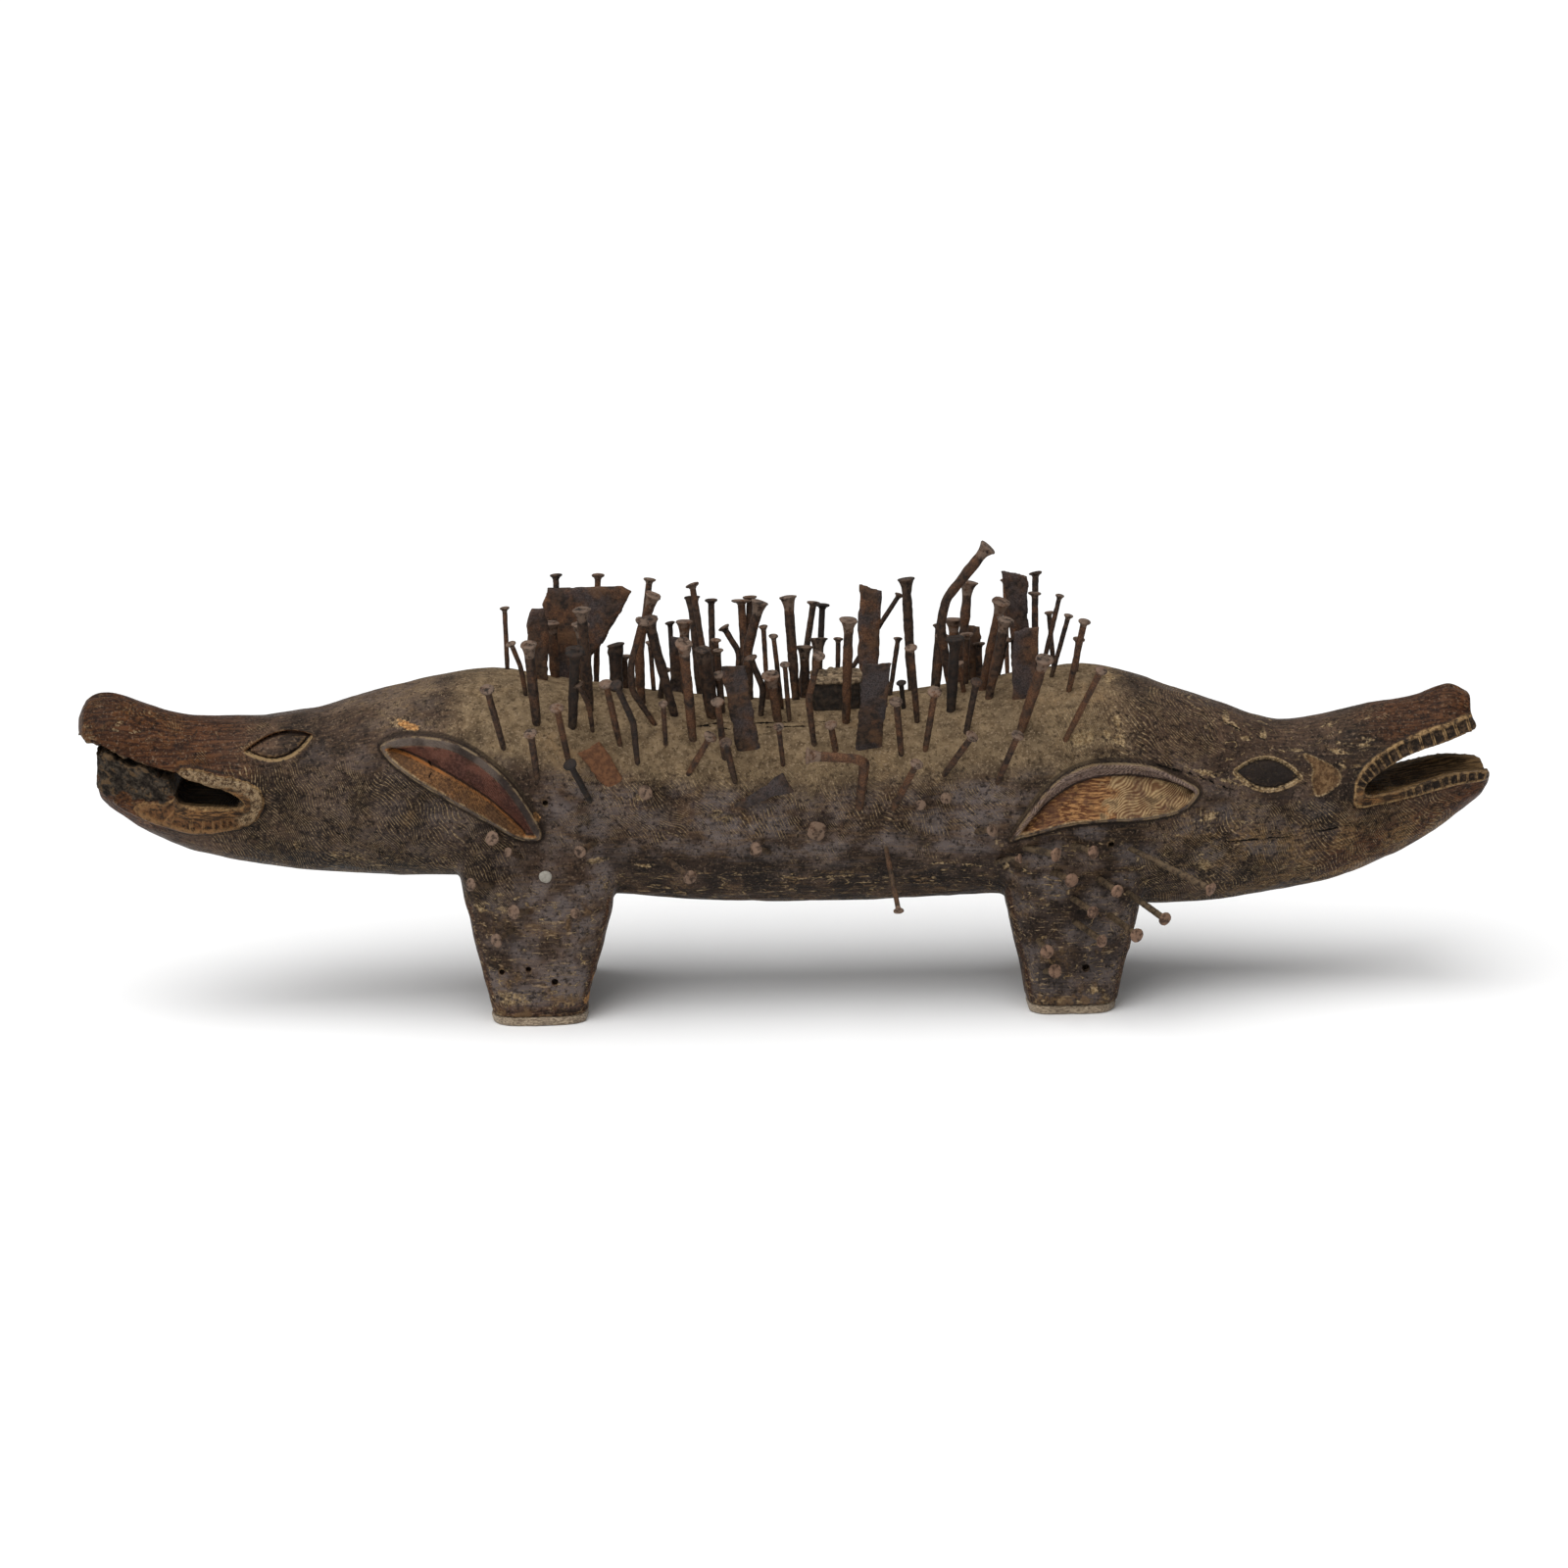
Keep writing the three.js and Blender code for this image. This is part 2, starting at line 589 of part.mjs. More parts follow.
function feltPad(rows, side) {
  const sole = rows[rows.length - 1];
  const ring = legRing(sole, side, feltInset);
  const low = ring.map((point) => point.clone().setZ(0));
  const high = ring.map((point) => point.clone().setZ(feltThickness));
  return skin([low, high]);
}

const figure = new THREE.Group();
const named = (name, geometry, material) => {
  geometry.computeVertexNormals();
  const mesh = new THREE.Mesh(geometry, material);
  mesh.name = name;
  return mesh;
};

// The figure stands on its felt pads
const carved = new THREE.Group();
carved.position.z = feltThickness + restGap;
figure.add(carved);
for (const [name, rows] of [['left', leftLeg], ['right', rightLeg]]) {
  figure.add(named(`felt_pad_${name}_near`, feltPad(rows, -1), felt));
  figure.add(named(`felt_pad_${name}_far`, feltPad(rows, 1), felt));
}

let body = carving();
const uncut = new THREE.Mesh(geometryOf(body), new THREE.MeshBasicMaterial({ side: THREE.DoubleSide }));

// Seat of the pack and edge of the strip in the back
const seat = ridgeHeight(packPlace) - packSunk;
const packRoom = new THREE.Vector3(packLength + 2 * restGap, packWidth + 2 * restGap, packHeight * 2);
body = body.subtract(box(packRoom, new THREE.Vector3(packPlace * unit, 0, seat + packHeight)));
const pack = named('medicine_pack', medicinePack(), clay);
pack.position.set(packPlace * unit, 0, seat + restGap);
carved.add(pack);

const seamMiddle = surfacePoint(uncut, seamPlace.along, seamPlace.turn);
const seam = new THREE.BoxGeometry(seamLength, seamBreadth, seamDepth * 2).rotateX(degrees(seamPlace.turn));
body = body.subtract(solid(seam.translate(seamMiddle.x, seamMiddle.y, seamMiddle.z)));

let count = 0;
for (const [kind, rows] of Object.entries(nailRows)) {
  for (const row of rows) {
    count += 1;
    const root = surfacePoint(uncut, row[0], row[1]);
    body = body.subtract(nailHole(kind, root, row));
    carved.add(named(`iron_nail_${String(count).padStart(2, '0')}`, nail(kind, root, row), iron));
  }
}
for (const [name, row] of Object.entries(bladeRows)) {
  const root = surfacePoint(uncut, row.place[0], row.place[1]);
  body = body.subtract(bladeSlot(row, root));
  carved.add(named(`iron_blade_${name}`, blade(row, root), iron));
}
carved.add(named('carved_wood_figure', geometryOf(body.asOriginal().simplify(sliver)), wood));

// Origin at the middle of the underside
figure.updateMatrixWorld(true);
const middle = new THREE.Box3().setFromObject(figure).getCenter(new THREE.Vector3());
figure.position.set(-middle.x, -middle.y, 0);

export default figure;
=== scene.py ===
"""A two-headed power figure: a long animal carved from one block of dark wood, with a head at each
end, four short legs on felt pads, iron nails and blades driven into it, and a medicine pack."""

import math
from functools import partial, reduce
from types import SimpleNamespace

import bpy
import numpy as np
import openvdb
from mathutils import Matrix, Vector
from mathutils.bvhtree import BVHTree


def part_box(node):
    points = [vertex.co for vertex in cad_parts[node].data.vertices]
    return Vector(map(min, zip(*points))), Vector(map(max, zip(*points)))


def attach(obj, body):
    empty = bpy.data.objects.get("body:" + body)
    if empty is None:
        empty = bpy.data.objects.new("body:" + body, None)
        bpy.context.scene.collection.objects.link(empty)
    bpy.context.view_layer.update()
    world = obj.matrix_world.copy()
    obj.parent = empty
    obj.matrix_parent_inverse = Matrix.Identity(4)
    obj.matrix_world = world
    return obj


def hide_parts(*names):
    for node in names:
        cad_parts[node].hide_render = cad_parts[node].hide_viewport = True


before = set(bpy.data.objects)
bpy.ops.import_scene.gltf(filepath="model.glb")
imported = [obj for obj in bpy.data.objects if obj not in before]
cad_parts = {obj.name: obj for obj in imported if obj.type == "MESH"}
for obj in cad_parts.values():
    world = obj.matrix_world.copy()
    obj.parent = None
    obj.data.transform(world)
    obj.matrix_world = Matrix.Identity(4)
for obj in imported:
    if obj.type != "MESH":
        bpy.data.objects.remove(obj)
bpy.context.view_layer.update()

# Frame of the carving: millimetres, along from the middle of the figure, across from its middle
# plane, and up from its wooden soles
MM = 0.001
wood_low, wood_high = (Vector(corner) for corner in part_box("carved_wood_figure"))
LENGTH = (wood_high.x - wood_low.x) / MM
UNIT = LENGTH / 100
START = Vector(((wood_low.x + wood_high.x) / 2, (wood_low.y + wood_high.y) / 2, wood_low.z))
ORIGIN = np.array(START) / MM

# Sizes in millimetres, numbers of triangles, and seeds
WOOD_GRAIN = 1.0      # spacing of the grid that the wood is carved on
WOOD_TRIANGLES = 190000
BLADE_TRIANGLES = 5200
PAD_TRIANGLES = 9000
PACK_TRIANGLES = 16000
SOLE_GAP = 0.3
LEG_BLEND = 5.0
EAR_RISE = 4.2
EAR_DEPTH = 7.0
LEFT_RIM = (2.6, 5.6)                        # breadth of an ear's rim below and above its fold
RIGHT_RIM = (2.4, 3.6)
LIP_RISE = 2.4
TOOTH_PITCH = 8.0                            # at the front; teeth get smaller towards the corner
CORNER_PITCH = 3.6
TOOTH_RIDGE = 1.4
TOOTH_DEPTH = 1.3
EYE_GROOVE = 1.3                             # breadth of the groove round an eye
LEFT_GROOVE, RIGHT_GROOVE = 2.6, 1.5         # its depth
TROUGH_DEPTH = 7.0
MOUTH_DROP = 2.2                             # of the right mouth towards its far side
JAW_WALL = 8.0
NAIL_DRIVEN = 14.0
BLADE_DRIVEN = 11.0
NAIL_SIDES = 14
PAD_INSET = 0.8
PACK = (33.0, 36.0, 21.5)                    # length, breadth and height
PACK_SUNK = 3.0
PACK_CRUST = 18.0
PACK_PLACE = 3.8                             # along, in percent
OUTSIDE = 200                                # where rays that look for the wood start
PACK_SEED, FIRST_BLADE_SEED, FIRST_PAD_SEED = 71, 200, 300

# The carving keeps its proportions, in percent of the figure's length.
# Trunk: place along, height of the axis, half height, half breadth
TRUNK = [
    (-50, 19.2, 1.9, 1.7), (-49.5, 19.1, 3.0, 2.6), (-48.6, 18.7, 3.85, 3.0), (-47.3, 18.1, 4.4, 3.3),
    (-45.2, 17.0, 4.6, 3.7), (-41.7, 15.8, 4.9, 4.3), (-34.8, 15.2, 5.6, 5.1), (-27.8, 15.8, 6.7, 6.6),
    (-20.9, 16.25, 7.3, 7.5), (-13.9, 15.05, 7.4, 7.2), (-4.2, 13.9, 7.25, 6.9), (5.6, 13.75, 7.25, 6.9),
    (13.9, 14.35, 7.6, 7.2), (18.1, 14.6, 8.1, 7.5), (21.6, 14.55, 8.4, 7.7), (25, 14.0, 8.2, 7.3),
    (27.8, 13.45, 7.7, 6.7), (31.3, 12.9, 7.0, 5.9), (34.8, 12.6, 6.2, 5.2), (38.3, 13.0, 6.0, 4.7),
    (41.7, 13.95, 5.85, 4.1), (45.2, 15.1, 5.3, 3.6), (47.3, 16.15, 4.95, 3.2), (48.7, 16.4, 4.1, 2.9),
    (49.6, 16.5, 3.5, 2.75), (50, 16.5, 2.8, 2.4),
]
TRUNK_ROUNDNESS = 2.25

# Legs: height, place along, half length, outer side and inner side from the middle plane
LEG_ROUNDNESS = 3.6
LEFT_LEG = [(0, -17.8, 3.5, 6.9, 1.6), (2, -17.75, 3.85, 7.0, 1.4), (6, -17.6, 4.85, 7.0, 1.2),
            (10, -17.6, 5.6, 6.85, 1.0), (13.2, -17.7, 5.9, 6.3, 0.9)]
RIGHT_LEG = [(0, 20.05, 3.25, 6.9, 1.6), (2, 20.15, 3.65, 7.0, 1.4), (6, 20.25, 4.6, 7.1, 1.2),
             (10, 20.25, 5.2, 6.95, 1.0), (13.2, 20.3, 5.4, 6.4, 0.9)]

# Outlines seen from the side: place along, height
LEFT_EAR = [(-28.2, 20.0), (-26.4, 20.6), (-23.7, 20.5), (-21.8, 19.8), (-20.0, 18.5), (-18.5, 16.7),
            (-17.2, 14.2), (-17.4, 13.2), (-18.9, 13.4), (-20.9, 14.7), (-23.7, 16.4), (-26.4, 18.0),
            (-27.9, 19.2)]
LEFT_EAR_FOLD = [(-27.9, 19.9), (-25.6, 19.1), (-22.9, 17.7), (-20.4, 16.0), (-18.2, 13.7)]
RIGHT_EAR = [(15.7, 12.5), (16.8, 14.3), (18.0, 15.9), (19.3, 17.1), (21.1, 17.9), (23.1, 18.0),
             (25.6, 17.6), (27.5, 16.7), (29.0, 15.7), (28.7, 14.9), (27.5, 14.1), (25.0, 13.8),
             (22.4, 13.8), (19.9, 13.6), (18.0, 13.1), (16.5, 12.7)]
RIGHT_EAR_FOLD = [(16.2, 12.9), (18.6, 15.3), (21.0, 16.7), (23.9, 16.9), (27.0, 16.2), (28.9, 15.3)]
LEFT_MOUTH = [(-51, 20.2), (-48.9, 19.7), (-46.3, 18.65), (-44.3, 18.05), (-43.1, 17.75), (-42.2, 17.4),
              (-40.6, 16.9), (-39.2, 16.5), (-38.5, 16.05), (-38.1, 15.65), (-38.35, 15.35), (-39.2, 15.25),
              (-41.0, 15.25), (-42.4, 15.4), (-42.95, 15.8), (-43.2, 16.4), (-43.5, 17.05), (-44.4, 17.5),
              (-45.8, 18.0), (-46.6, 18.25), (-48.4, 19.05), (-51, 19.5)]
RIGHT_MOUTH = [(51, 18.8), (48.6, 18.45), (46.7, 17.8), (44.3, 17.05), (42.8, 16.35), (41.7, 15.65),
               (41.0, 14.95), (40.95, 14.4), (41.6, 14.2), (43.6, 14.5), (45.4, 14.95), (47.2, 15.4),
               (48.9, 15.45), (51, 15.5)]
LEFT_BAND = [(-42.6, 18.0), (-40.2, 17.75), (-38.2, 17.3), (-37.0, 16.6), (-36.7, 15.7), (-37.0, 14.9),
             (-37.8, 14.1), (-39.3, 13.55), (-41.8, 13.25), (-44.1, 13.7), (-46.2, 14.5), (-47.6, 15.4),
             (-46.2, 15.6), (-43.2, 15.8)]
RIGHT_BAND = [(48.9, 19.5), (46.7, 19.0), (44.8, 18.45), (43.0, 17.7), (41.2, 16.6), (40.35, 15.5),
              (40.15, 14.5), (40.35, 13.45), (42, 13.6), (43.6, 13.85), (45.9, 14.3), (47.5, 14.6),
              (50.2, 14.9), (50.2, 16), (48.9, 17)]
LEFT_CORNER, RIGHT_CORNER = (-38.0, 15.3), (41.0, 14.8)
EYE_FACET = [(36.7, 17.2), (37.6, 16.9), (38.9, 16.2), (39.15, 15.4), (38.3, 14.7), (37.5, 14.5),
             (37.2, 15.5), (37.3, 16.4)]
UPPER_JAW_END = (49.0, 17.0)
LOWER_JAW_END = (-48.7, 19.6)
# Troughs inside the mouths: from and to along, height at both
TROUGHS = ((42.6, 51, 14.6, 15.9), (-43.6, -38.8, 15.4, 15.2))

# Cracks and old tool cuts: places along, and turns from the ridge down the near side in degrees
CRACKS = [
    [(-5.9, 29), (-2.8, 27), (0, 26), (3.2, 26)], [(-7.2, 33), (-5.4, 31), (-3.6, 33)],
    [(-1.2, 30), (1.8, 29)],
    [(27.3, 12), (28.6, 16), (29.7, 18), (30.7, 20), (32.4, 25)], [(24.1, -2), (24.6, 4), (25.2, 14)],
    [(30.9, 103), (34.4, 101), (37.3, 102), (40.0, 105)], [(-24.9, 66), (-24.6, 71), (-24.9, 76)],
    [(26.0, 60), (28.8, 61), (31.6, 67)], [(-31.6, 108), (-30.0, 118), (-28.4, 124)],
    [(-7.0, -40), (-4.8, -36), (-2.9, -39), (-0.5, -37)], [(14.0, -70), (17.0, -65), (19.5, -69)],
]
# Small holes seen from the near side: place along, height
SIDE_HOLES = [(-20.3, 3.4), (-18.4, 3.6), (-16.6, 2.6), (22.8, 12.0), (21.0, 2.8), (-16.8, 15.9)]

# Worn or chipped spots on the near side: place along, height, half length, half height, slope
SPOTS = [
    (20.9, 19.6, 11, 6, 12), (22.5, 19.7, 4, 4, 0), (23.5, 19.4, 5, 5, 0), (23.4, 20.4, 3, 6, 10),
    (39.1, 17.35, 9, 1.8, -12), (41.0, 17.7, 7, 1.6, -6), (39.3, 16.4, 6, 1.8, -28), (41.4, 18.1, 7, 1.3, -8),
    (36.2, 17.5, 7, 1.3, -4), (36.2, 14.1, 7, 1.2, 18), (29.7, 16.6, 13, 2.0, -18), (31.0, 16.0, 6, 1.8, -14),
    (29.6, 13.5, 12, 3.2, 16), (29.3, 9.9, 8, 5, 0), (31.3, 19.6, 3, 3, 0), (31.9, 19.1, 5, 1.6, -40),
    (33.9, 18.5, 3, 3, 0), (32.7, 18.4, 5, 1.3, -10), (23.0, 22.7, 5, 3, -20),
    (-10.0, 16.1, 6, 4, 20), (-5.0, 14.7, 5, 5, 0), (-4.0, 14.4, 4, 4, 0), (9.6, 12.3, 4, 5, 0),
    (-34.6, 12.4, 4, 3, 60), (-37.6, 13.0, 2.2, 3.4, 0), (-30.4, 16.7, 4, 1.6, 30), (-46.9, 21.1, 5, 1.2, 14),
    (-47.1, 20.7, 6, 1.1, 10), (-45.7, 20.5, 7, 1.1, 6), (-13.3, 11.4, 9, 3, 8), (-10.0, 10.9, 8, 2, -4),
    (-6.5, 10.2, 9, 1.5, 2), (-3.4, 10.0, 7, 1.3, -3), (10.8, 10.6, 8, 1.6, 3), (12.8, 10.4, 6, 2.2, -6),
    (16.3, 12.7, 4, 3, 0), (4.5, 9.7, 8, 1.3, 0), (15.4, 10.3, 3, 4, 0), (-9.2, 9.7, 8, 1.3, -4),
    (1.0, 9.5, 7, 1.2, 3),
    (-19.8, 1.4, 14, 5, -8), (-16.0, 0.8, 10, 3, 0), (21.6, 1.1, 8, 3, 0), (-26.7, 21.2, 11, 4.0, -12),
]
ORANGE_CHIPS = [
    (-13.7, 2.4, 2.8, 4.2, -10), (-26.4, 21.15, 8, 2.4, -12), (-14.0, 0.9, 6, 4, 0),
    (-17.4, 15.0, 2, 4, 30),
]

# Eyes: middle, half length, height above and below the line through the corners, slope in degrees
LEFT_EYE = (-35.65, 19.6, 2.35, 0.50, 0.95, 12)
RIGHT_EYE = (34.0, 16.15, 2.3, 0.92, 0.98, -9)


# Smooth curves and noise

def smooth_at(table, places):
    """The other columns of a table, on a smooth curve through its rising first column."""
    rows = np.asarray(table, float)
    x, values = rows[:, 0], rows[:, 1:]
    numbers = np.arange(len(x))
    ahead, behind = np.minimum(numbers + 1, len(x) - 1), np.maximum(numbers - 1, 0)
    slopes = (values[ahead] - values[behind]) / (x[ahead] - x[behind])[:, None]
    places = np.clip(places, x[0], x[-1])
    i = np.clip(np.searchsorted(x, places, side="right") - 1, 0, len(x) - 2)
    span = (x[i + 1] - x[i])[:, None]
    t = (places - x[i])[:, None] / span
    start, rest = values[i], values[i + 1] - values[i]
    slope_in, slope_out = slopes[i] * span, slopes[i + 1] * span
    bend = 3 * rest - 2 * slope_in - slope_out
    return (start + t * (slope_in + t * (bend + t * (slope_in + slope_out - 2 * rest)))).T


def step(low, high, value):
    t = np.clip((value - low) / (high - low), 0, 1)
    return t * t * (3 - 2 * t)


def window(value, low, high, soft):
    return step(low - soft, low + soft, value) * step(high + soft, high - soft, value)


def most(*values):
    return reduce(np.maximum, values)


def noise(points, size, seed):
    """Smooth noise from -1 to 1 at points, with features of the given size."""
    lattice = np.random.default_rng(seed).uniform(-1, 1, (64, 64, 64))
    places = np.asarray(points) / size + 1000
    whole = np.floor(places).astype(int)
    t = places - whole
    t = t * t * (3 - 2 * t)
    total = 0
    for corner in range(8):
        pick = [(corner >> axis) & 1 for axis in range(3)]
        weight = 1
        for axis in range(3):
            weight = weight * (t[..., axis] if pick[axis] else 1 - t[..., axis])
        a, b, c = ((whole[..., axis] + pick[axis]) % 64 for axis in range(3))
        total = total + weight * lattice[a, b, c]
    return total


def rough(points, size, seed, layers=3):
    return sum(noise(points, size / 2 ** i, seed + i) / 2 ** i for i in range(layers))


def scallops(points, size, seed):
    """Shallow tool cuts side by side: up to 1 in the middle of each, and 0 where two meet."""
    middles = np.random.default_rng(seed).uniform(0, 1, (32, 32, 32, 3))
    places = points / size + 1000
    cell = np.floor(places).astype(int)
    nearest = np.full(len(points), 9.0)
    second = nearest.copy()
    for i in range(27):
        other = cell + (i // 9 - 1, i // 3 % 3 - 1, i % 3 - 1)
        away = np.linalg.norm(other + middles[tuple(other.T % 32)] - places, axis=1)
        second = np.minimum(second, np.maximum(nearest, away))
        nearest = np.minimum(nearest, away)
    return np.clip(second - nearest, 0, 1)


def rounded(outline, closed=True, steps=5):
    """A polyline or outline in percent, rounded through its corners, in millimetres."""
    corners = np.asarray(outline, float) * UNIT
    count = len(corners)
    result = []
    for i in range(count if closed else count - 1):
        pick = [(i + k) % count if closed else min(max(i + k, 0), count - 1) for k in (-1, 0, 1, 2)]
        a, b, c, d = corners[pick]
        for k in range(steps):
            t = k / steps
            result.append(b + 0.5 * t * (c - a + t * (2 * a - 5 * b + 4 * c - d + t * (3 * (b - c) + d - a))))
    if not closed:
        result.append(corners[-1])
    return np.array(result)


def line_distance(x, z, line, closed=False):
    """Distance to a polyline, and how far along it the nearest place is."""
    ends = np.vstack([line[1:], line[:1]]) if closed else line[1:]
    best = np.full(np.broadcast(x, z).shape, 1e9)
    reached = np.zeros_like(best)
    run = 0.0
    for a, b in zip(line, ends):
        way = b - a
        length = max(np.hypot(*way), 1e-6)
        t = np.clip(((x - a[0]) * way[0] + (z - a[1]) * way[1]) / length ** 2, 0, 1)
        distance = np.hypot(x - a[0] - t * way[0], z - a[1] - t * way[1])
        nearer = distance < best
        best = np.where(nearer, distance, best)
        reached = np.where(nearer, run + t * length, reached)
        run += length
    return best, reached


def inside_of(x, z, outline):
    """Depth inside a closed outline; negative outside it."""
    distance, _ = line_distance(x, z, outline, closed=True)
    crossings = np.zeros(distance.shape, bool)
    for a, b in zip(outline, np.roll(outline, -1, axis=0)):
        spans = (a[1] > z) != (b[1] > z)
        edge = a[0] + (z - a[1]) / (b[1] - a[1] + 1e-12) * (b[0] - a[0])
        crossings ^= spans & (x < edge)
    return np.where(crossings, distance, -distance)


def almond(eye, steps=9):
    along, height, reach, rise, sag, slope = eye
    turn = math.radians(slope)
    points = []
    for side, bulge in ((1, rise), (-1, sag)):
        for i in range(steps):
            t = i / steps * 2 - 1
            x, z = side * t * reach, side * (1 - t * t) * bulge
            points.append((along + x * math.cos(turn) - z * math.sin(turn),
                           height + x * math.sin(turn) + z * math.cos(turn)))
    return np.array(points) * UNIT


# The carving

def ear_places(x, z, head):
    """Depth inside an ear, depth inside the hollow behind its rim, and height above its fold."""
    depth = inside_of(x, z, head.ear)
    above = z - np.interp(x, *head.fold.T)
    return depth, depth - head.rim[0] - (head.rim[1] - head.rim[0]) * step(-2.5, 2.5, above), above


def ear_relief(x, z, head):
    """A raised rim round a hollow of two planes that meet in a fold."""
    depth, inner, _ = ear_places(x, z, head)
    to_fold, _ = line_distance(x, z, head.fold)
    inner = np.maximum(inner, 0)
    hollow = EAR_DEPTH * inner / (inner + to_fold + 1e-6) * step(0, 2.0, inner)
    hollow = np.minimum(hollow, 1.2 * inner + 0.35 * EAR_DEPTH * step(0, 1, inner))
    return EAR_RISE * step(-2.2, 1.2, depth) * (1 - 0.25 * step(1.5, 5.0, depth)) - hollow


def eye_relief(x, z, head):
    """An incised outline round a slightly swelling eye."""
    depth = inside_of(x, z, head.eye)
    groove = np.exp(-((depth - 0.4) / (EYE_GROOVE * 0.55)) ** 2)
    lid = 1.1 * step(-6.0, -2.0, depth) * step(0.2, -1.6, depth)
    ball = 0.7 * step(1.0, 7.0, depth)
    return lid + ball - head.groove * groove


def tooth_count(mouth, corner):
    """Teeth passed on the way round a mouth, and their breadth there, every half millimetre."""
    loop = np.vstack([mouth, mouth[:1]])
    run = np.concatenate([[0], np.cumsum(np.hypot(*np.diff(loop, axis=0).T))])
    at = np.arange(0, run[-1], 0.5)
    x, z = (np.interp(at, run, loop[:, axis]) for axis in (0, 1))
    away = np.hypot(x - corner[0] * UNIT, z - corner[1] * UNIT)
    pitch = CORNER_PITCH + (TOOTH_PITCH - CORNER_PITCH) * step(6, 42, away)
    pitch = np.where((x > 0) & (z < 15.6 * UNIT), 0.62 * pitch + 1.2, pitch)
    return at, np.cumsum(0.5 / pitch), pitch


def outlines(ear, fold, rim, mouth, corner, band, eye, groove):
    """The carved forms on the sides of one head, in millimetres."""
    mouth = rounded(mouth)
    return SimpleNamespace(
        ear=rounded(ear), fold=rounded(fold, closed=False), rim=rim, mouth=mouth,
        teeth=tooth_count(mouth, corner), band=rounded(band), eye=almond(eye), groove=groove)


left = outlines(LEFT_EAR, LEFT_EAR_FOLD, LEFT_RIM, LEFT_MOUTH, LEFT_CORNER, LEFT_BAND, LEFT_EYE, LEFT_GROOVE)
right = outlines(
    RIGHT_EAR, RIGHT_EAR_FOLD, RIGHT_RIM, RIGHT_MOUTH, RIGHT_CORNER, RIGHT_BAND, RIGHT_EYE, RIGHT_GROOVE)
eye_facet = rounded(EYE_FACET)


def band_places(x, z, head):
    """Depth inside a tooth band, share of the way out across it, teeth passed, and their breadth."""
    depth = inside_of(x, z, head.band)
    to_mouth, run = line_distance(x, z, head.mouth, closed=True)
    share = to_mouth / (to_mouth + np.maximum(depth, 0) + 1e-6)
    at, count, pitch = head.teeth
    return depth, share, np.interp(run, at, count), np.interp(run, at, pitch)


def cells(share, count, pitch, inner, outer):
    """1 in the hollow of a tooth, 0 on the ridges round it."""
    to_ridge = (0.5 - np.abs(count % 1 - 0.5)) * pitch
    between = step(TOOTH_RIDGE / 2, TOOTH_RIDGE / 2 + 0.7, to_ridge)
    return between * step(inner, inner + 0.08, share) * step(outer, outer - 0.08, share)


def plain_jaw(x, z):
    """1 on the back of the right lower jaw, where no teeth are cut."""
    return step(44.2, 43.2, x / UNIT) * step(15.0, 14.5, z / UNIT)


def side_relief(x, z):
    """How far the surface stands out on the sides, seen from the side."""
    rise = ear_relief(x, z, left) + ear_relief(x, z, right)
    rise += eye_relief(x, z, left) + eye_relief(x, z, right)
    rise -= 1.3 * step(-0.5, 1.2, inside_of(x, z, eye_facet))
    band, share, count, pitch = band_places(x, z, right)
    rise += LIP_RISE * step(-0.9, 0.7, band)
    rise -= np.where(band > 0, TOOTH_DEPTH * cells(share, count, pitch, 0.06, 0.8), 0) * (1 - plain_jaw(x, z))
    band, share, count, pitch = band_places(x, z, left)
    rise += LIP_RISE * step(-0.9, 0.7, band)
    lower = step(16.3 * UNIT, 15.2 * UNIT, z)
    lip = np.sin(np.clip(share / 0.42, 0, 1) * math.pi) - 0.8 * np.exp(-((share - 0.45) / 0.06) ** 2)
    rise += np.where(band > 0, 0.9 * lip - TOOTH_DEPTH * cells(share, count, pitch, 0.5, 0.84), 0) * lower
    return rise


def radial(across, up, broad, tall, roundness):
    """Distance outside a rounded section, along the line from its middle."""
    share = (np.abs(across / broad) ** roundness + np.abs(up / tall) ** roundness) ** (1 / roundness)
    return np.hypot(across, up) * (1 - 1 / np.maximum(share, 1e-3))


def blend_out(a, b, size):
    """The union of two distances, with a fillet."""
    h = np.clip(0.5 + 0.5 * (b - a) / size, 0, 1)
    return b + (a - b) * h - size * h * (1 - h)


def both(a, b, size):
    """Where two forms overlap, with a softened edge."""
    return -blend_out(-a, -b, size)


def cut(a, b, size=0.8):
    """a with b taken out of it, with a softened edge."""
    return -blend_out(-a, b, size)


def add_legs(field, X, Y, Z):
    x, y, z = X.ravel(), Y.ravel(), Z.ravel()
    for rows in (LEFT_LEG, RIGHT_LEG):
        top = rows[-1][0] * UNIT
        low = z < top + 10
        spot = np.abs(x - rows[2][1] * UNIT) < 9 * UNIT
        along, reach, outer, inner = (v[None, None, :] * UNIT for v in smooth_at(rows, z[low] / UNIT))
        side = np.abs(Y) - (outer + inner) / 2
        leg = radial(X[spot] - along, side, reach, (outer - inner) / 2, LEG_ROUNDNESS)
        leg = np.maximum(leg, Z[:, :, low] - top)
        part = np.ix_(spot, np.ones(len(y), bool), low)
        field[part] = blend_out(field[part], leg.astype(np.float32), LEG_BLEND)


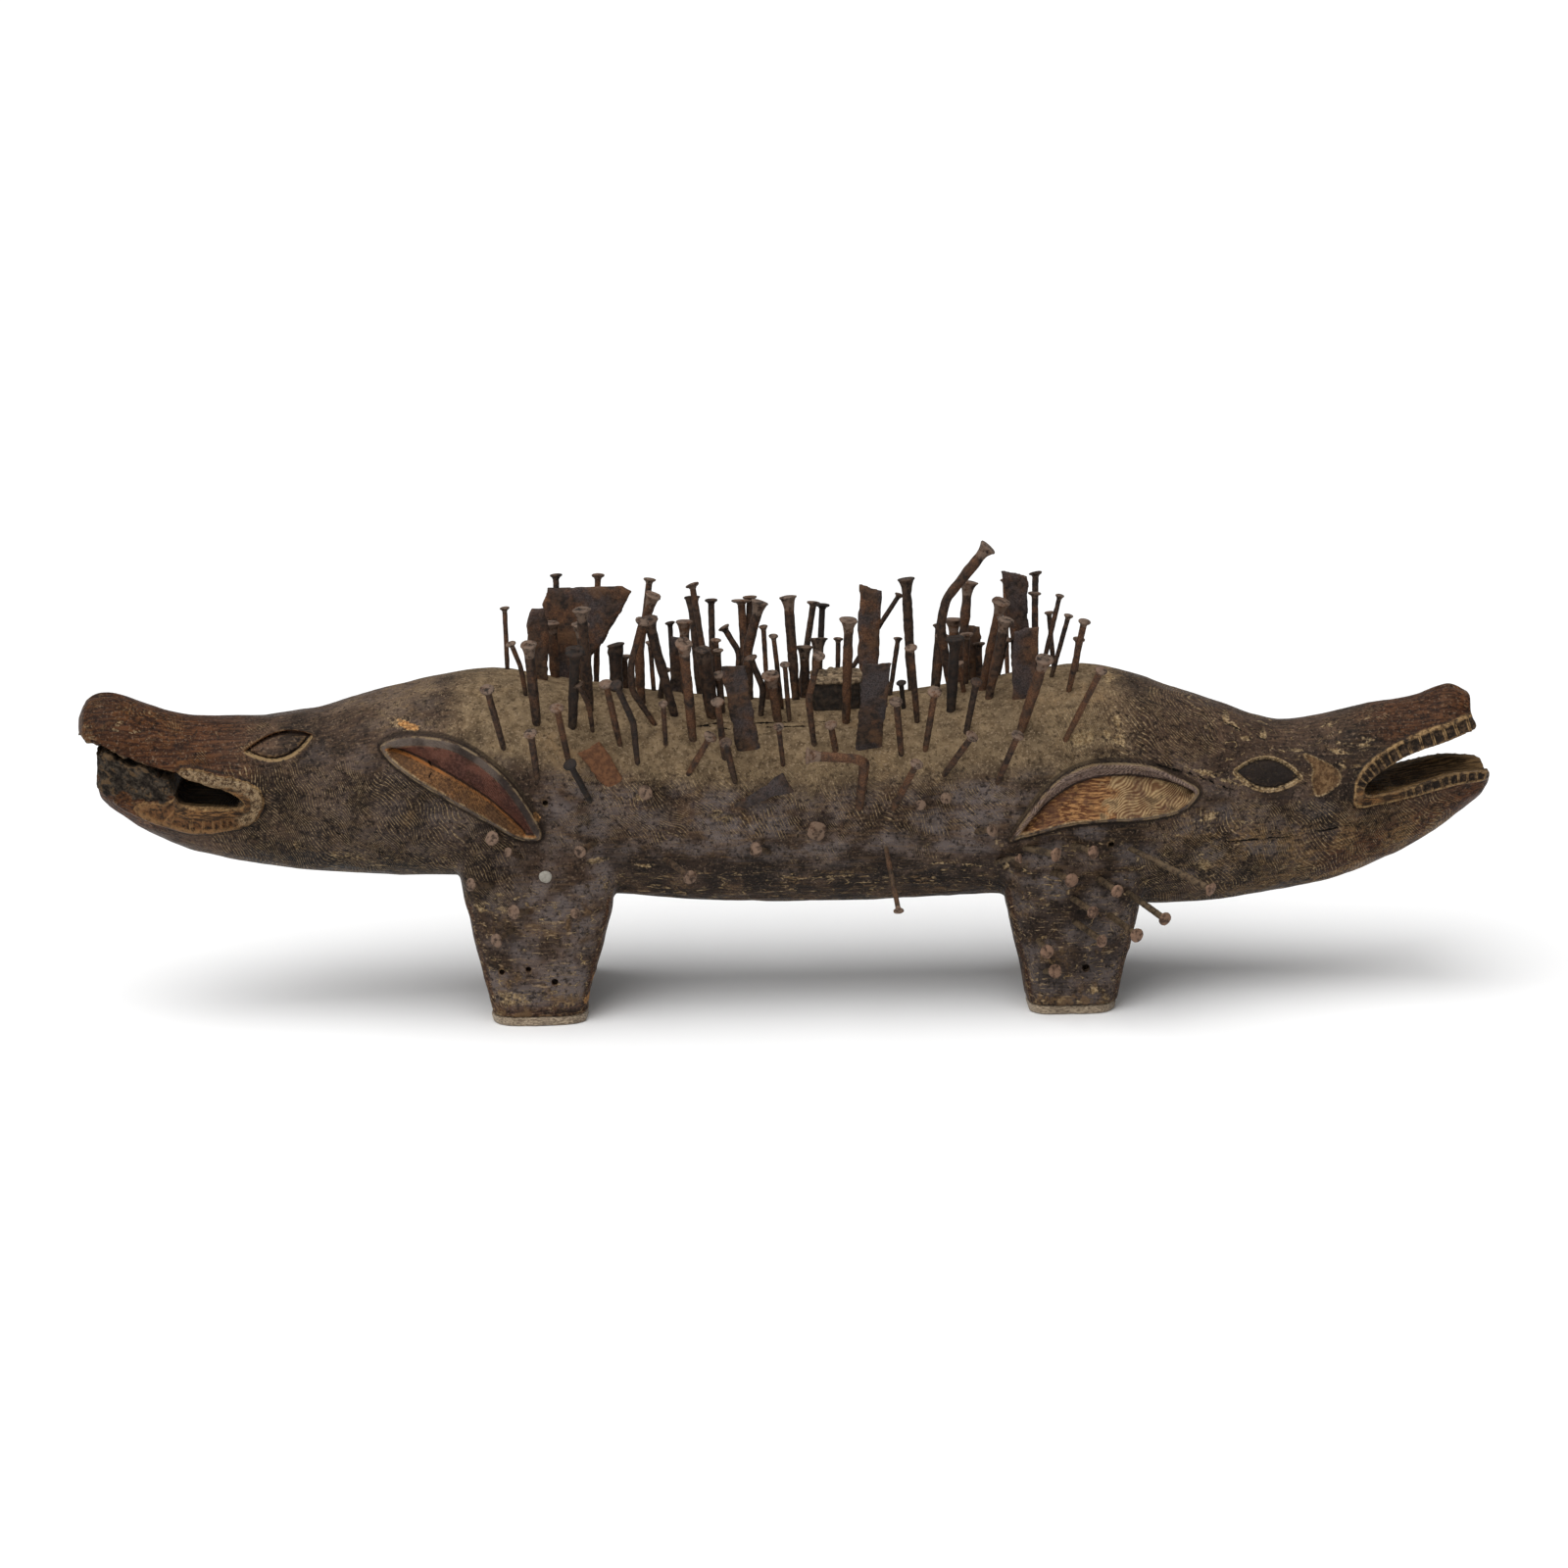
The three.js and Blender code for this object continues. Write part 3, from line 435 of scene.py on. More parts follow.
def open_mouths(field, X, Y, Z, broad):
    """Both mouths cut through from side to side, the left one with ragged edges, and hollow inside."""
    side_x, side_z = X[:, 0], Z[0]
    flat = np.stack(np.broadcast_arrays(side_x, 0 * side_x, side_z), axis=-1)
    ragged = rough(flat, 7, 21) * (0.3 + 0.45 * step(-39, -44, side_x / UNIT)) * (side_x < 0)
    opening = (inside_of(side_x, side_z, left.mouth) + ragged).astype(np.float32)[:, None, :]
    field = cut(field, -opening)
    near, far = (inside_of(side_x, side_z + drop, right.mouth).astype(np.float32)[:, None, :]
                 for drop in (0, MOUTH_DROP))
    field = cut(field, -(near + (far - near) * step(-5, 12, Y)))
    for first, last, from_height, to_height in TROUGHS:
        spot = (X.ravel() > first * UNIT) & (X.ravel() < last * UNIT)
        share = (X[spot] / UNIT - first) / (last - first)
        middle = (from_height + (to_height - from_height) * share) * UNIT
        trough = radial(Y, Z - middle, broad[spot] - JAW_WALL, TROUGH_DEPTH, 2)
        ends = step(0, 8, np.minimum(X[spot] - first * UNIT, last * UNIT + 9 - X[spot]))
        field[spot] = cut(field[spot], -(-trough - (1 - ends) * TROUGH_DEPTH).astype(np.float32))
    return field


def trim_snouts(field, X, Y, Z, ridge):
    """The ends of the jaws, a groove along each snout, and the shapes of both tips."""
    end = np.maximum(UPPER_JAW_END[0] * UNIT - X, UPPER_JAW_END[1] * UNIT - Z)
    field = cut(field, end, 2.5)
    end = np.maximum(X - LOWER_JAW_END[0] * UNIT, Z - LOWER_JAW_END[1] * UNIT)
    field = cut(field, end, 2.5)
    for side in (-1, 1):
        top = ridge[np.argmin(np.abs(X - side * 47.5 * UNIT))].item()
        groove = np.hypot(Y, (Z - top - 1.0) * 0.8) - 3.4
        groove = np.maximum(groove, (45.5 * UNIT - side * X) * 0.4)
        field = cut(field, groove, 2.0)
    field = cut(field, np.hypot(X - 49.9 * UNIT, Z - 19.75 * UNIT) - 11.5, 2.0)
    notch = np.sqrt((X + 48.9 * UNIT) ** 2 + ((Z - 18.3 * UNIT) * 1.3) ** 2 + ((Y + 12) * 0.5) ** 2) - 5.0
    return cut(field, notch, 1.5)


def pierce(field, X, Y, Z):
    """Small old nail holes in the near side."""
    for place, up in SIDE_HOLES:
        to_x, to_z = X - place * UNIT, Z - up * UNIT
        part = np.ix_(np.abs(to_x.ravel()) < 5, Y.ravel() < -10, np.abs(to_z.ravel()) < 5)
        hole = np.hypot(to_x, to_z)[part[0].ravel()][:, :, part[2].ravel()] - 1.6
        field[part] = cut(field[part], np.maximum(hole, -field[part] - 6), 0.4)


def wood_field(spacing):
    """Distance to the surface of the carving on a grid, and the grid's first corner."""
    x = np.arange(-LENGTH / 2 - 6, LENGTH / 2 + 6, spacing, dtype=np.float32)
    y = np.arange(-8.6 * UNIT, 8.6 * UNIT, spacing, dtype=np.float32)
    z = np.arange(-5, 24.6 * UNIT, spacing, dtype=np.float32)
    height, tall, broad = (v.astype(np.float32)[:, None, None] * UNIT for v in smooth_at(TRUNK, x / UNIT))
    X, Y, Z = x[:, None, None], y[None, :, None], z[None, None, :]
    field = radial(Y, Z - height, broad, tall, TRUNK_ROUNDNESS)
    field -= side_relief(x[:, None], z[None, :]).astype(np.float32)[:, None, :]
    field = np.maximum(field, np.abs(X) - LENGTH / 2)
    add_legs(field, X, Y, Z)
    field = np.maximum(field, -Z)
    field = open_mouths(field, X, Y, Z, broad)
    field = trim_snouts(field, X, Y, Z, height + tall)
    pierce(field, X, Y, Z)
    return field, np.array([x[0], y[0], z[0]])


# Meshes

def new_mesh(name, points, faces):
    """A mesh object from points in metres and triangles."""
    mesh = bpy.data.meshes.new(name)
    mesh.vertices.add(len(points))
    mesh.vertices.foreach_set("co", np.asarray(points, np.float32).ravel())
    mesh.loops.add(faces.size)
    mesh.loops.foreach_set("vertex_index", faces.astype(np.int32).ravel())
    mesh.polygons.add(len(faces))
    mesh.polygons.foreach_set("loop_start", np.arange(0, faces.size, 3, dtype=np.int32))
    mesh.polygons.foreach_set("use_smooth", np.ones(len(faces), bool))
    mesh.update(calc_edges=True)
    thing = bpy.data.objects.new(name, mesh)
    bpy.context.scene.collection.objects.link(thing)
    return thing


def grid_in(low, high, spacing):
    """Places on a grid in a box."""
    sides = (np.arange(first, last, spacing) for first, last in zip(low, high))
    return np.stack(np.meshgrid(*sides, indexing="ij"), axis=-1)


def mesh_field(name, field, corner, spacing):
    """The surface where a field on a grid is zero."""
    grid = openvdb.FloatGrid(4 * spacing)
    grid.copyFromArray(np.clip(field, -4 * spacing, 4 * spacing).astype(np.float32))
    grid.transform = openvdb.createLinearTransform(voxelSize=spacing)
    points, triangles, quads = grid.convertToPolygons(isovalue=0.0, adaptivity=0.0)
    faces = np.vstack([triangles, quads[:, [0, 1, 2]], quads[:, [0, 2, 3]]]).astype(np.int32)
    return new_mesh(name, (points + corner) * MM, faces)


def apply_modifiers(thing):
    bpy.context.view_layer.update()
    evaluated = thing.evaluated_get(bpy.context.evaluated_depsgraph_get())
    mesh = bpy.data.meshes.new_from_object(evaluated)
    thing.modifiers.clear()
    thing.data = mesh


def thin_out(thing, triangles):
    """Fewer triangles, most where the form turns."""
    count = len(thing.data.polygons)
    if count > triangles:
        thinner = thing.modifiers.new("thinner", "DECIMATE")
        thinner.ratio = triangles / count
        apply_modifiers(thing)


def vertices_of(thing):
    points = np.empty(len(thing.data.vertices) * 3, np.float32)
    thing.data.vertices.foreach_get("co", points)
    return points.reshape(-1, 3).astype(float)


def normals_of(thing):
    normals = np.empty(len(thing.data.vertices) * 3, np.float32)
    thing.data.vertex_normals.foreach_get("vector", normals)
    return normals.reshape(-1, 3).astype(float)


def set_vertices(thing, points):
    thing.data.vertices.foreach_set("co", points.astype(np.float32).ravel())
    thing.data.update()


def put_at(thing, points):
    """Moves the vertices to points in millimetres of the carving."""
    set_vertices(thing, (points + ORIGIN) * MM)


def mark(thing, name, values):
    """A value at every vertex, which the material reads by name."""
    layer = thing.data.attributes.new(name, "FLOAT", "POINT")
    layer.data.foreach_set("value", np.asarray(values, np.float32))


# Camera, light and floor

def camera():
    """As the figure was photographed: square on, from a little above, tipped slightly."""
    aim = Vector((-0.0006, 0.0216, 0.1398))
    distance, rise, roll = 3.2, math.radians(16), math.radians(1.25)
    eye = bpy.data.objects.new("camera", bpy.data.cameras.new("camera"))
    eye.data.lens = 114.3
    eye.data.sensor_width = 36
    eye.location = aim + distance * Vector((0, -math.cos(rise), math.sin(rise)))
    look = (aim - eye.location).to_track_quat("-Z", "Y").to_matrix()
    eye.rotation_euler = (look @ Matrix.Rotation(-roll, 3, "Z")).to_euler()
    bpy.context.scene.collection.objects.link(eye)
    bpy.context.scene.camera = eye


def softbox(name, place, aim, size, watts):
    light = bpy.data.lights.new(name, "AREA")
    light.shape = "RECTANGLE"
    light.size, light.size_y = size
    light.energy = watts
    lamp = bpy.data.objects.new(name, light)
    lamp.location = place
    lamp.rotation_euler = (Vector(aim) - Vector(place)).to_track_quat("-Z", "Y").to_euler()
    bpy.context.scene.collection.objects.link(lamp)


def soft_sun(name, place, strength, breadth):
    """Even light from one side of the sky, so broad that its shadows are soft."""
    light = bpy.data.lights.new(name, "SUN")
    light.energy = strength
    light.angle = math.radians(breadth)
    lamp = bpy.data.objects.new(name, light)
    lamp.rotation_euler = Vector(place).to_track_quat("Z", "Y").to_euler()
    bpy.context.scene.collection.objects.link(lamp)


def studio():
    soft_sun("light_top", (-0.25, -0.25, 1), 3.0, 60)
    softbox("light_front", (-1.2, -2.2, 1.5), (0, 0, 0.12), (1.8, 1.2), 14)
    world = bpy.data.worlds.new("studio")
    world.use_nodes = True
    world.node_tree.nodes["Background"].inputs["Color"].default_value = (1, 1, 1, 1)
    world.node_tree.nodes["Background"].inputs["Strength"].default_value = 0.38
    bpy.context.scene.world = world
    bpy.context.scene.view_settings.view_transform = "Standard"


def floor():
    size = 30.0
    points = np.array([(-size, -size, 0), (size, -size, 0), (size, size, 0), (-size, size, 0)], float)
    ground = new_mesh("floor", points, np.array([(0, 1, 2), (0, 2, 3)]))
    material = bpy.data.materials.new("pale_floor")
    material.use_nodes = True
    shader = material.node_tree.nodes["Principled BSDF"]
    shader.inputs["Base Color"].default_value = (0.86, 0.86, 0.86, 1)
    shader.inputs["Roughness"].default_value = 0.9
    ground.data.materials.append(material)


# Materials, built node by node. Sums of values are written as operators, and each becomes a node.

def put(socket, value):
    """Links a value to a socket, or sets the socket to a number or colour."""
    if isinstance(value, Value):
        socket.id_data.links.new(value.socket, socket)
    elif isinstance(value, tuple) and socket.type == "RGBA":
        socket.default_value = (*value, 1)
    else:
        socket.default_value = value


def make(tree, kind, inputs, **settings):
    """A node with its settings, and its inputs by name or number."""
    node = tree.nodes.new(kind)
    for name, value in settings.items():
        setattr(node, name, value)
    for name, value in inputs.items():
        put(node.inputs[name], value)
    return node


class Value:
    """What one socket gives at each point of a material: a number, colour or direction."""

    def __init__(self, socket):
        self.socket = socket

    def sum(self, operation, *terms):
        node = make(self.socket.id_data, "ShaderNodeMath", dict(enumerate(terms)), operation=operation)
        return Value(node.outputs[0])

    def __add__(self, other):
        return self.sum("ADD", self, other)

    def __mul__(self, other):
        return self.sum("MULTIPLY", self, other)

    def __sub__(self, number):
        return self + -number

    def __rsub__(self, number):
        return self.sum("SUBTRACT", number, self)

    __radd__, __rmul__ = __add__, __mul__

    def most(self, other):
        return self.sum("MAXIMUM", self, other)

    def ramp(self, low, high):
        """0 at low and 1 at high, with soft ends."""
        inputs = {"Value": self, "From Min": min(low, high), "From Max": max(low, high),
                  "To Min": float(low > high), "To Max": float(low < high)}
        node = make(self.socket.id_data, "ShaderNodeMapRange", inputs, interpolation_type="SMOOTHSTEP")
        return Value(node.outputs["Result"])

    def line(self, half, soft):
        """1 where the value is near nought."""
        return self.sum("ABSOLUTE", self).ramp(half + soft, half)

    def blend(self, a, b):
        """a where the value is 0 and b where it is 1."""
        inputs = {"Factor": self, 6: a, 7: b}
        return Value(make(self.socket.id_data, "ShaderNodeMix", inputs, data_type="RGBA").outputs[2])

    def shades(self, low, high, a, b):
        return self.ramp(low, high).blend(a, b)


def layered(colour, *layers):
    """A colour with others laid over it in turn, each with its own share."""
    for share, tint in layers:
        colour = share.blend(colour, tint)
    return colour


class Paint:
    """One procedural material; lengths in its noise are in millimetres."""

    def __init__(self, name):
        self.material = bpy.data.materials.new(name)
        self.material.use_nodes = True
        self.tree = self.material.node_tree
        self.shader = self.tree.nodes["Principled BSDF"]
        self.place = self.output("ShaderNodeTexCoord", {}, "Object")

    def output(self, kind, inputs, output, **settings):
        return Value(make(self.tree, kind, inputs, **settings).outputs[output])

    def mark(self, name):
        return self.output("ShaderNodeAttribute", {}, "Fac", attribute_name=name)

    def stretched(self, stretch=(1, 1, 1), turn=(0, 0, 0), warp=0.0, warp_size=20.0):
        turns = tuple(math.radians(angle) for angle in turn)
        inputs = {"Vector": self.place, "Rotation": turns, "Scale": stretch}
        mapped = self.output("ShaderNodeMapping", inputs, "Vector")
        if not warp:
            return mapped
        inputs = {"Vector": self.place, "Scale": 1000 / warp_size}
        shift = self.output("ShaderNodeTexNoise", inputs, "Color")
        inputs = {0: shift, "Scale": warp * MM}
        scaled = self.output("ShaderNodeVectorMath", inputs, 0, operation="SCALE")
        return self.output("ShaderNodeVectorMath", {0: mapped, 1: scaled}, 0, operation="ADD")

    def noise(self, size, detail=4.0, roughness=0.55, **where):
        inputs = {"Vector": self.stretched(**where) if where else self.place, "Scale": 1000 / size,
                  "Detail": detail, "Roughness": roughness}
        return self.output("ShaderNodeTexNoise", inputs, "Fac")

    def waves(self, pitch, **where):
        """Parallel lines with the given pitch, from 0 to 1."""
        scale = 2 * math.pi / (20 * pitch * MM)
        inputs = {"Vector": self.stretched(**where), "Scale": scale, "Distortion": 0}
        return self.output("ShaderNodeTexWave", inputs, "Fac", wave_type="BANDS", bands_direction="X",
                           wave_profile="SIN")

    def hairlines(self, size, **where):
        """Thin curving lines that run where a noise crosses its middle value."""
        return (self.noise(size, 2, 0.5, **where) - 0.5).line(0.003, 0.011)

    def finish(self, colour, roughness, height, bump=1.0, **settings):
        """Sets the shader's inputs, a bump of the given height in millimetres among them."""
        inputs = {"Strength": bump, "Distance": MM, "Height": height}
        normal = self.output("ShaderNodeBump", inputs, "Normal")
        inputs = {"Base_Color": colour, "Roughness": roughness, "Normal": normal, **settings}
        for name, value in inputs.items():
            put(self.shader.inputs[name.replace("_", " ")], value)
        return self.material


def bare_wood(p):
    """Near black with brown patches and lengthwise streaks, and a painted bluish sheen on the flanks."""
    # Where the painted sheen is strongest: in patches and at the middles of the tool facets.
    rubbed = p.patches + p.broad * 0.6 + p.mark("tooled") * 0.6
    # Fewer dark mottles under the painted shade and darker wood.
    calm = 0.6 + p.mark("shade_and_dark_wood") * -0.35
    return layered(
        p.broad.shades(0.38, 0.62, (0.020, 0.0125, 0.0082), (0.054, 0.0315, 0.0205)),
        (p.patches.ramp(0.45, 0.68) * 0.7, (0.100, 0.059, 0.0375)),
        # Painted sheen: a pale bluish grey over the flank band, the left neck and the right jaw.
        (p.mark("smooth") * rubbed.ramp(0.76, 1.12) * 0.9, (0.122, 0.099, 0.093)),
        (p.mottle.ramp(0.50, 0.66) * calm, (0.0105, 0.0068, 0.0050)),
        (p.grain.ramp(0.50, 0.64) * 0.45, (0.115, 0.070, 0.038)),
        (p.grain.ramp(0.46, 0.36) * 0.45, (0.0080, 0.0055, 0.0042)))


def red_wood(p, colour):
    """The snouts, jaw edges and foot edges, worn to red-brown and orange."""
    warm = p.mark("warm")
    red = p.grain.shades(0.4, 0.62, (0.025, 0.0090, 0.0042), (0.085, 0.0325, 0.0125))
    orange = p.grain.shades(0.40, 0.64, (0.022, 0.0080, 0.0034), (0.105, 0.040, 0.0115))
    worn = warm.ramp(0.55, 1.0) * (p.patches + p.mottle * 0.5).ramp(0.64, 0.9)
    share = (warm + p.patches * 0.7 - 0.35).ramp(0.15, 0.8)
    return (share * 0.95).blend(colour, worn.blend(red, orange))


def dusty_back(p, colour):
    """The colour under khaki dust, and the share of the dust."""
    khaki = layered(
        p.mottle.shades(0.35, 0.65, (0.110, 0.074, 0.041), (0.215, 0.152, 0.088)),
        (p.patches.ramp(0.54, 0.40) * 0.4, (0.078, 0.056, 0.035)),
        (p.broad.ramp(0.56, 0.68) * p.mottle.ramp(0.4, 0.6) * 0.5, (0.200, 0.120, 0.058)),
        (p.fine.ramp(0.54, 0.66) * 0.6, (0.30, 0.22, 0.135)),
        (p.specks.ramp(0.47, 0.36) * 0.6, (0.042, 0.027, 0.015)))
    share = (p.mark("dust") + p.patches * 0.7 + p.fine * 0.5 - 0.6).ramp(0.1, 0.8)
    return (share * 0.92).blend(colour, khaki), share


def stains(p, colour, dusty):
    """Golden areas, painted shade with darker wood, dark pores and pale specks, and hair-thin scratches
    across the legs.
    """
    gold = p.mark("gold") * (p.patches + p.mottle * 0.6).ramp(0.72, 0.92)
    shade_and_dark_wood = p.mark("shade_and_dark_wood") * (0.35 + p.patches.ramp(0.60, 0.40) * 0.5)
    hair = p.mark("legs") * p.grain.ramp(0.59, 0.65) * p.mottle.ramp(0.42, 0.56)
    return layered(
        colour,
        (gold * 0.8, p.grain.shades(0.42, 0.6, (0.060, 0.034, 0.014), (0.21, 0.120, 0.050))),
        # Painted shade under the body and on the lower parts, and darker wood on the sides of the heads.
        (shade_and_dark_wood, (0.0115, 0.0084, 0.0074)),
        (p.specks.ramp(0.48, 0.38) * (0.75 + dusty * -0.6), (0.0045, 0.0030, 0.0022)),
        (p.fine.ramp(0.55, 0.68) * 0.36, (0.23, 0.160, 0.108)),
        (hair * 0.8, (0.30, 0.215, 0.130)))


def tool_marks(p):
    """Strength of tan scratches and of the fine parallel ripples left by a blade."""
    lengthwise = p.hairlines(15, stretch=(0.34, 1, 1.3), warp=5, warp_size=14)
    slanting = p.hairlines(13, stretch=(0.36, 1, 1.3), turn=(0, 55, 0), warp=6, warp_size=16)
    broken = p.noise(5, 4, 0.6).ramp(0.50, 0.60)
    wanted = (p.mark("scratch") + p.patches * 1.3 - 0.8).ramp(0.08, 0.6)
    splinters = p.noise(3.4, 4, 0.62, stretch=(0.26, 1, 1.5), warp=4, warp_size=12).ramp(0.60, 0.66)
    splinters *= (p.mark("chips") + p.patches - 0.5).ramp(0.25, 0.6)
    cuts = (lengthwise.most(slanting) * broken * wanted).most(splinters)
    ripple = p.waves(1.6, turn=(0, 35, 0), warp=40, warp_size=55)
    rippled = (p.mark("ripple") + p.patches * 1.5 + p.mottle * 0.8 - 1.40).ramp(0.1, 0.5)
    lines = ripple.ramp(0.74, 1.0) * rippled * (p.specks + p.mottle * 0.7).ramp(0.74, 0.96)
    return cuts, lines, ripple * rippled


def worn_spots(p, colour):
    ragged = p.mottle * 1.2 + p.fine * 0.9 - 1.05
    spot = (p.mark("spot") + ragged).ramp(0.05, 0.45) * p.specks.ramp(0.40, 0.54)
    chip = (p.mark("chip") + ragged).ramp(0.0, 0.3)
    orange = p.fine.shades(0.4, 0.6, (0.23, 0.098, 0.030), (0.48, 0.255, 0.095))
    return layered(colour, (spot * 0.9, p.tan), (chip, orange))


def left_ear_planes(p, fold):
    """The upper and the lower plane of the left ear: dark red-brown with painted shade, and orange-brown with
    painted light.
    """
    upper = layered(
        p.patches.shades(0.4, 0.62, (0.040, 0.0165, 0.0125), (0.105, 0.041, 0.0270)),
        (p.fine.ramp(0.45, 0.62) * 0.4, (0.130, 0.058, 0.042)))
    lower = layered(
        p.fine.shades(0.38, 0.64, (0.072, 0.034, 0.0150), (0.185, 0.088, 0.034)),
        (p.patches.ramp(0.48, 0.64) * 0.7, (0.058, 0.030, 0.0165)),
        ((fold + 1.3).line(0.5, 0.9) * p.broad.ramp(0.4, 0.55) * 0.8, (0.30, 0.110, 0.028)))
    return upper, lower


def right_ear_planes(p, swirl):
    """The upper and the lower plane of the right ear: mauve darkened as painted shade, and tan with painted
    light, streaks and swirling grain.
    """
    streaks = p.noise(1.3, 5, 0.7, stretch=(0.11, 1, 1), turn=(0, -22, 0), warp=5, warp_size=24)
    streaked = streaks.shades(0.42, 0.62, (0.082, 0.030, 0.0135), (0.38, 0.195, 0.076))
    swirled = (p.mottle + swirl * 0.25).shades(0.42, 0.80, (0.130, 0.064, 0.030), (0.40, 0.270, 0.135))
    lower = layered(
        (p.mark("swirled") + p.mottle * 1.6 - 0.8).shades(0.35, 0.65, streaked, swirled),
        (p.patches.ramp(0.50, 0.62) * 0.8, (0.075, 0.034, 0.022)))
    upper = (p.fine + swirl * 0.25).shades(0.45, 0.80, (0.066, 0.045, 0.040), (0.235, 0.165, 0.130))
    return upper, lower


def ear_colours(p, colour):
    """The colour with the ears in it, painted shade and light among it, and the relief of the swirling grain.
    """
    inner, fold, right, edge = (p.mark(name) for name in ("ear", "fold", "right", "ear_edge"))
    swirl = p.waves(1.35, turn=(0, -62, 0), warp=60, warp_size=48)
    (left_upper_shaded, left_lower_lit), (mauve, tan) = left_ear_planes(p, fold), right_ear_planes(p, swirl)
    hollow = inner.ramp(-0.5, 0.6)
    planes = layered(
        # Above the fold darker as painted shade, below it lighter as painted light, over the planes' own
        # reds, oranges, mauve and tan.
        fold.shades(0.7, -0.7, right.blend(left_upper_shaded, mauve), right.blend(left_lower_lit, tan)),
        # Painted shade: a dark line in the crease along the fold.
        ((fold - 0.4).line(0.5, 0.8) * 0.8, (0.014, 0.007, 0.005)),
        (p.mottle.ramp(0.54, 0.66) * 0.7, (0.036, 0.017, 0.0105)))
    ledge = (inner + 0.3).line(0.5, 0.8) * fold.ramp(1.0, -1.0) * p.mottle.ramp(0.42, 0.55)
    rim = edge.ramp(0.3, 1.4) * inner.ramp(0.2, -0.8)
    dark_rim = p.patches.shades(0.4, 0.62, (0.026, 0.0190, 0.0165), (0.088, 0.068, 0.056))
    ridge = (edge - 0.7).line(0.25, 0.5) * p.mottle.ramp(0.42, 0.56) * 0.75
    colour = layered(
        colour,
        (hollow * 0.95, planes),
        (ledge * 0.75, p.tan),
        (rim * 0.85, (right * fold.ramp(-1.0, 1.0)).blend(dark_rim, mauve)),
        # Painted shadow: a dark line at the foot of the raised rim.
        ((edge + 1.0).line(0.6, 1.2) * 0.7, (0.012, 0.0085, 0.0070)),
        (ridge, (0.20, 0.145, 0.085)))
    return colour, swirl * hollow * p.mark("swirled")


def mouth_colours(p, colour):
    """Tooth bands: dark square cells with worn edges, and crumbling crust along the left upper lip."""
    band, share, teeth, right = (p.mark(name) for name in ("band", "share", "teeth", "right"))
    ridge = (teeth.sum("PINGPONG", teeth, 0.5) - 0.07).line(0.018, 0.040)
    edge = share.ramp(0.76, 0.88).most(share.ramp(0.10, 0.04) * 0.7)
    on_band = (band + (p.mottle - 0.5) * (5.0 - right * 4.0)).ramp(-0.6, 0.4)
    worn = p.specks.shades(0.40, 0.58, (0.085, 0.046, 0.019), (0.30, 0.190, 0.085))
    lip = layered(
        p.grain.shades(0.42, 0.60, (0.022, 0.0125, 0.0072), (0.190, 0.094, 0.036)),
        (p.fine.ramp(0.48, 0.62) * 0.6, (0.030, 0.0165, 0.0090)),
        (edge * p.specks.ramp(0.38, 0.52), worn))
    teeth_and_lip = layered(
        p.specks.shades(0.45, 0.62, (0.014, 0.0095, 0.0065), (0.070, 0.043, 0.025)),
        (ridge.most(edge) * p.mottle.ramp(0.34, 0.5) * 0.9, worn),
        ((1.0 - right) * p.specks.ramp(0.35, 0.6) * 0.8, (0.150, 0.066, 0.024)),
        (p.mark("toothless") * 0.95, lip))
    crust = on_band * p.mark("crumbly") * (band + p.mottle * 6.0 - 3.2).ramp(0.0, 1.0)
    pale = layered(
        p.specks.shades(0.40, 0.60, (0.060, 0.034, 0.018), (0.30, 0.205, 0.115)),
        (p.fine.ramp(0.50, 0.62) * 0.6, (0.40, 0.30, 0.185)))
    outline = (band + 1.0).line(0.3, 1.0) * p.mottle.ramp(0.60, 0.42)
    colour = layered(colour, (on_band, teeth_and_lip), (crust * 0.92, pale),
                     (outline * 0.75, (0.012, 0.009, 0.007)))
    return colour, crust


def eye_colours(p, colour):
    """The right eye dark in a double tan ring, the left one with reddish and tan lids."""
    eye, right, lid, facet = (p.mark(name) for name in ("eye", "right", "lid", "facet"))
    left = 1.0 - right
    ring = (eye + 1.7).line(0.25, 0.6).most((eye + 0.2).line(0.35, 0.6))
    ring = ring.most((eye + 1.0).line(0.7, 0.4) * 0.45)
    upper = (eye + 0.2).line(0.7, 0.6) * lid.ramp(-0.3, 0.3) * left
    lower = (eye + 0.6).line(0.45, 0.6) * lid.ramp(0.3, -0.3) * left
    brown = p.specks.shades(0.42, 0.6, (0.070, 0.036, 0.016), (0.165, 0.096, 0.045))
    return layered(
        colour,
        (eye.ramp(-0.2, 0.6) * right * 0.85, (0.012, 0.0095, 0.0085)),
        (ring * right * p.specks.ramp(0.38, 0.50) * 0.95, p.tan),
        (upper * 0.85, (0.140, 0.058, 0.024)),
        (lower * p.specks.ramp(0.36, 0.5) * 0.8, (0.27, 0.18, 0.088)),
        ((eye - 0.7).line(0.3, 0.5) * left * 0.85, (0.010, 0.006, 0.005)),
        (facet.ramp(-0.5, 0.5) * 0.9, brown),
        ((facet + 0.2).line(0.3, 0.6) * p.specks.ramp(0.4, 0.55) * 0.7, p.tan))


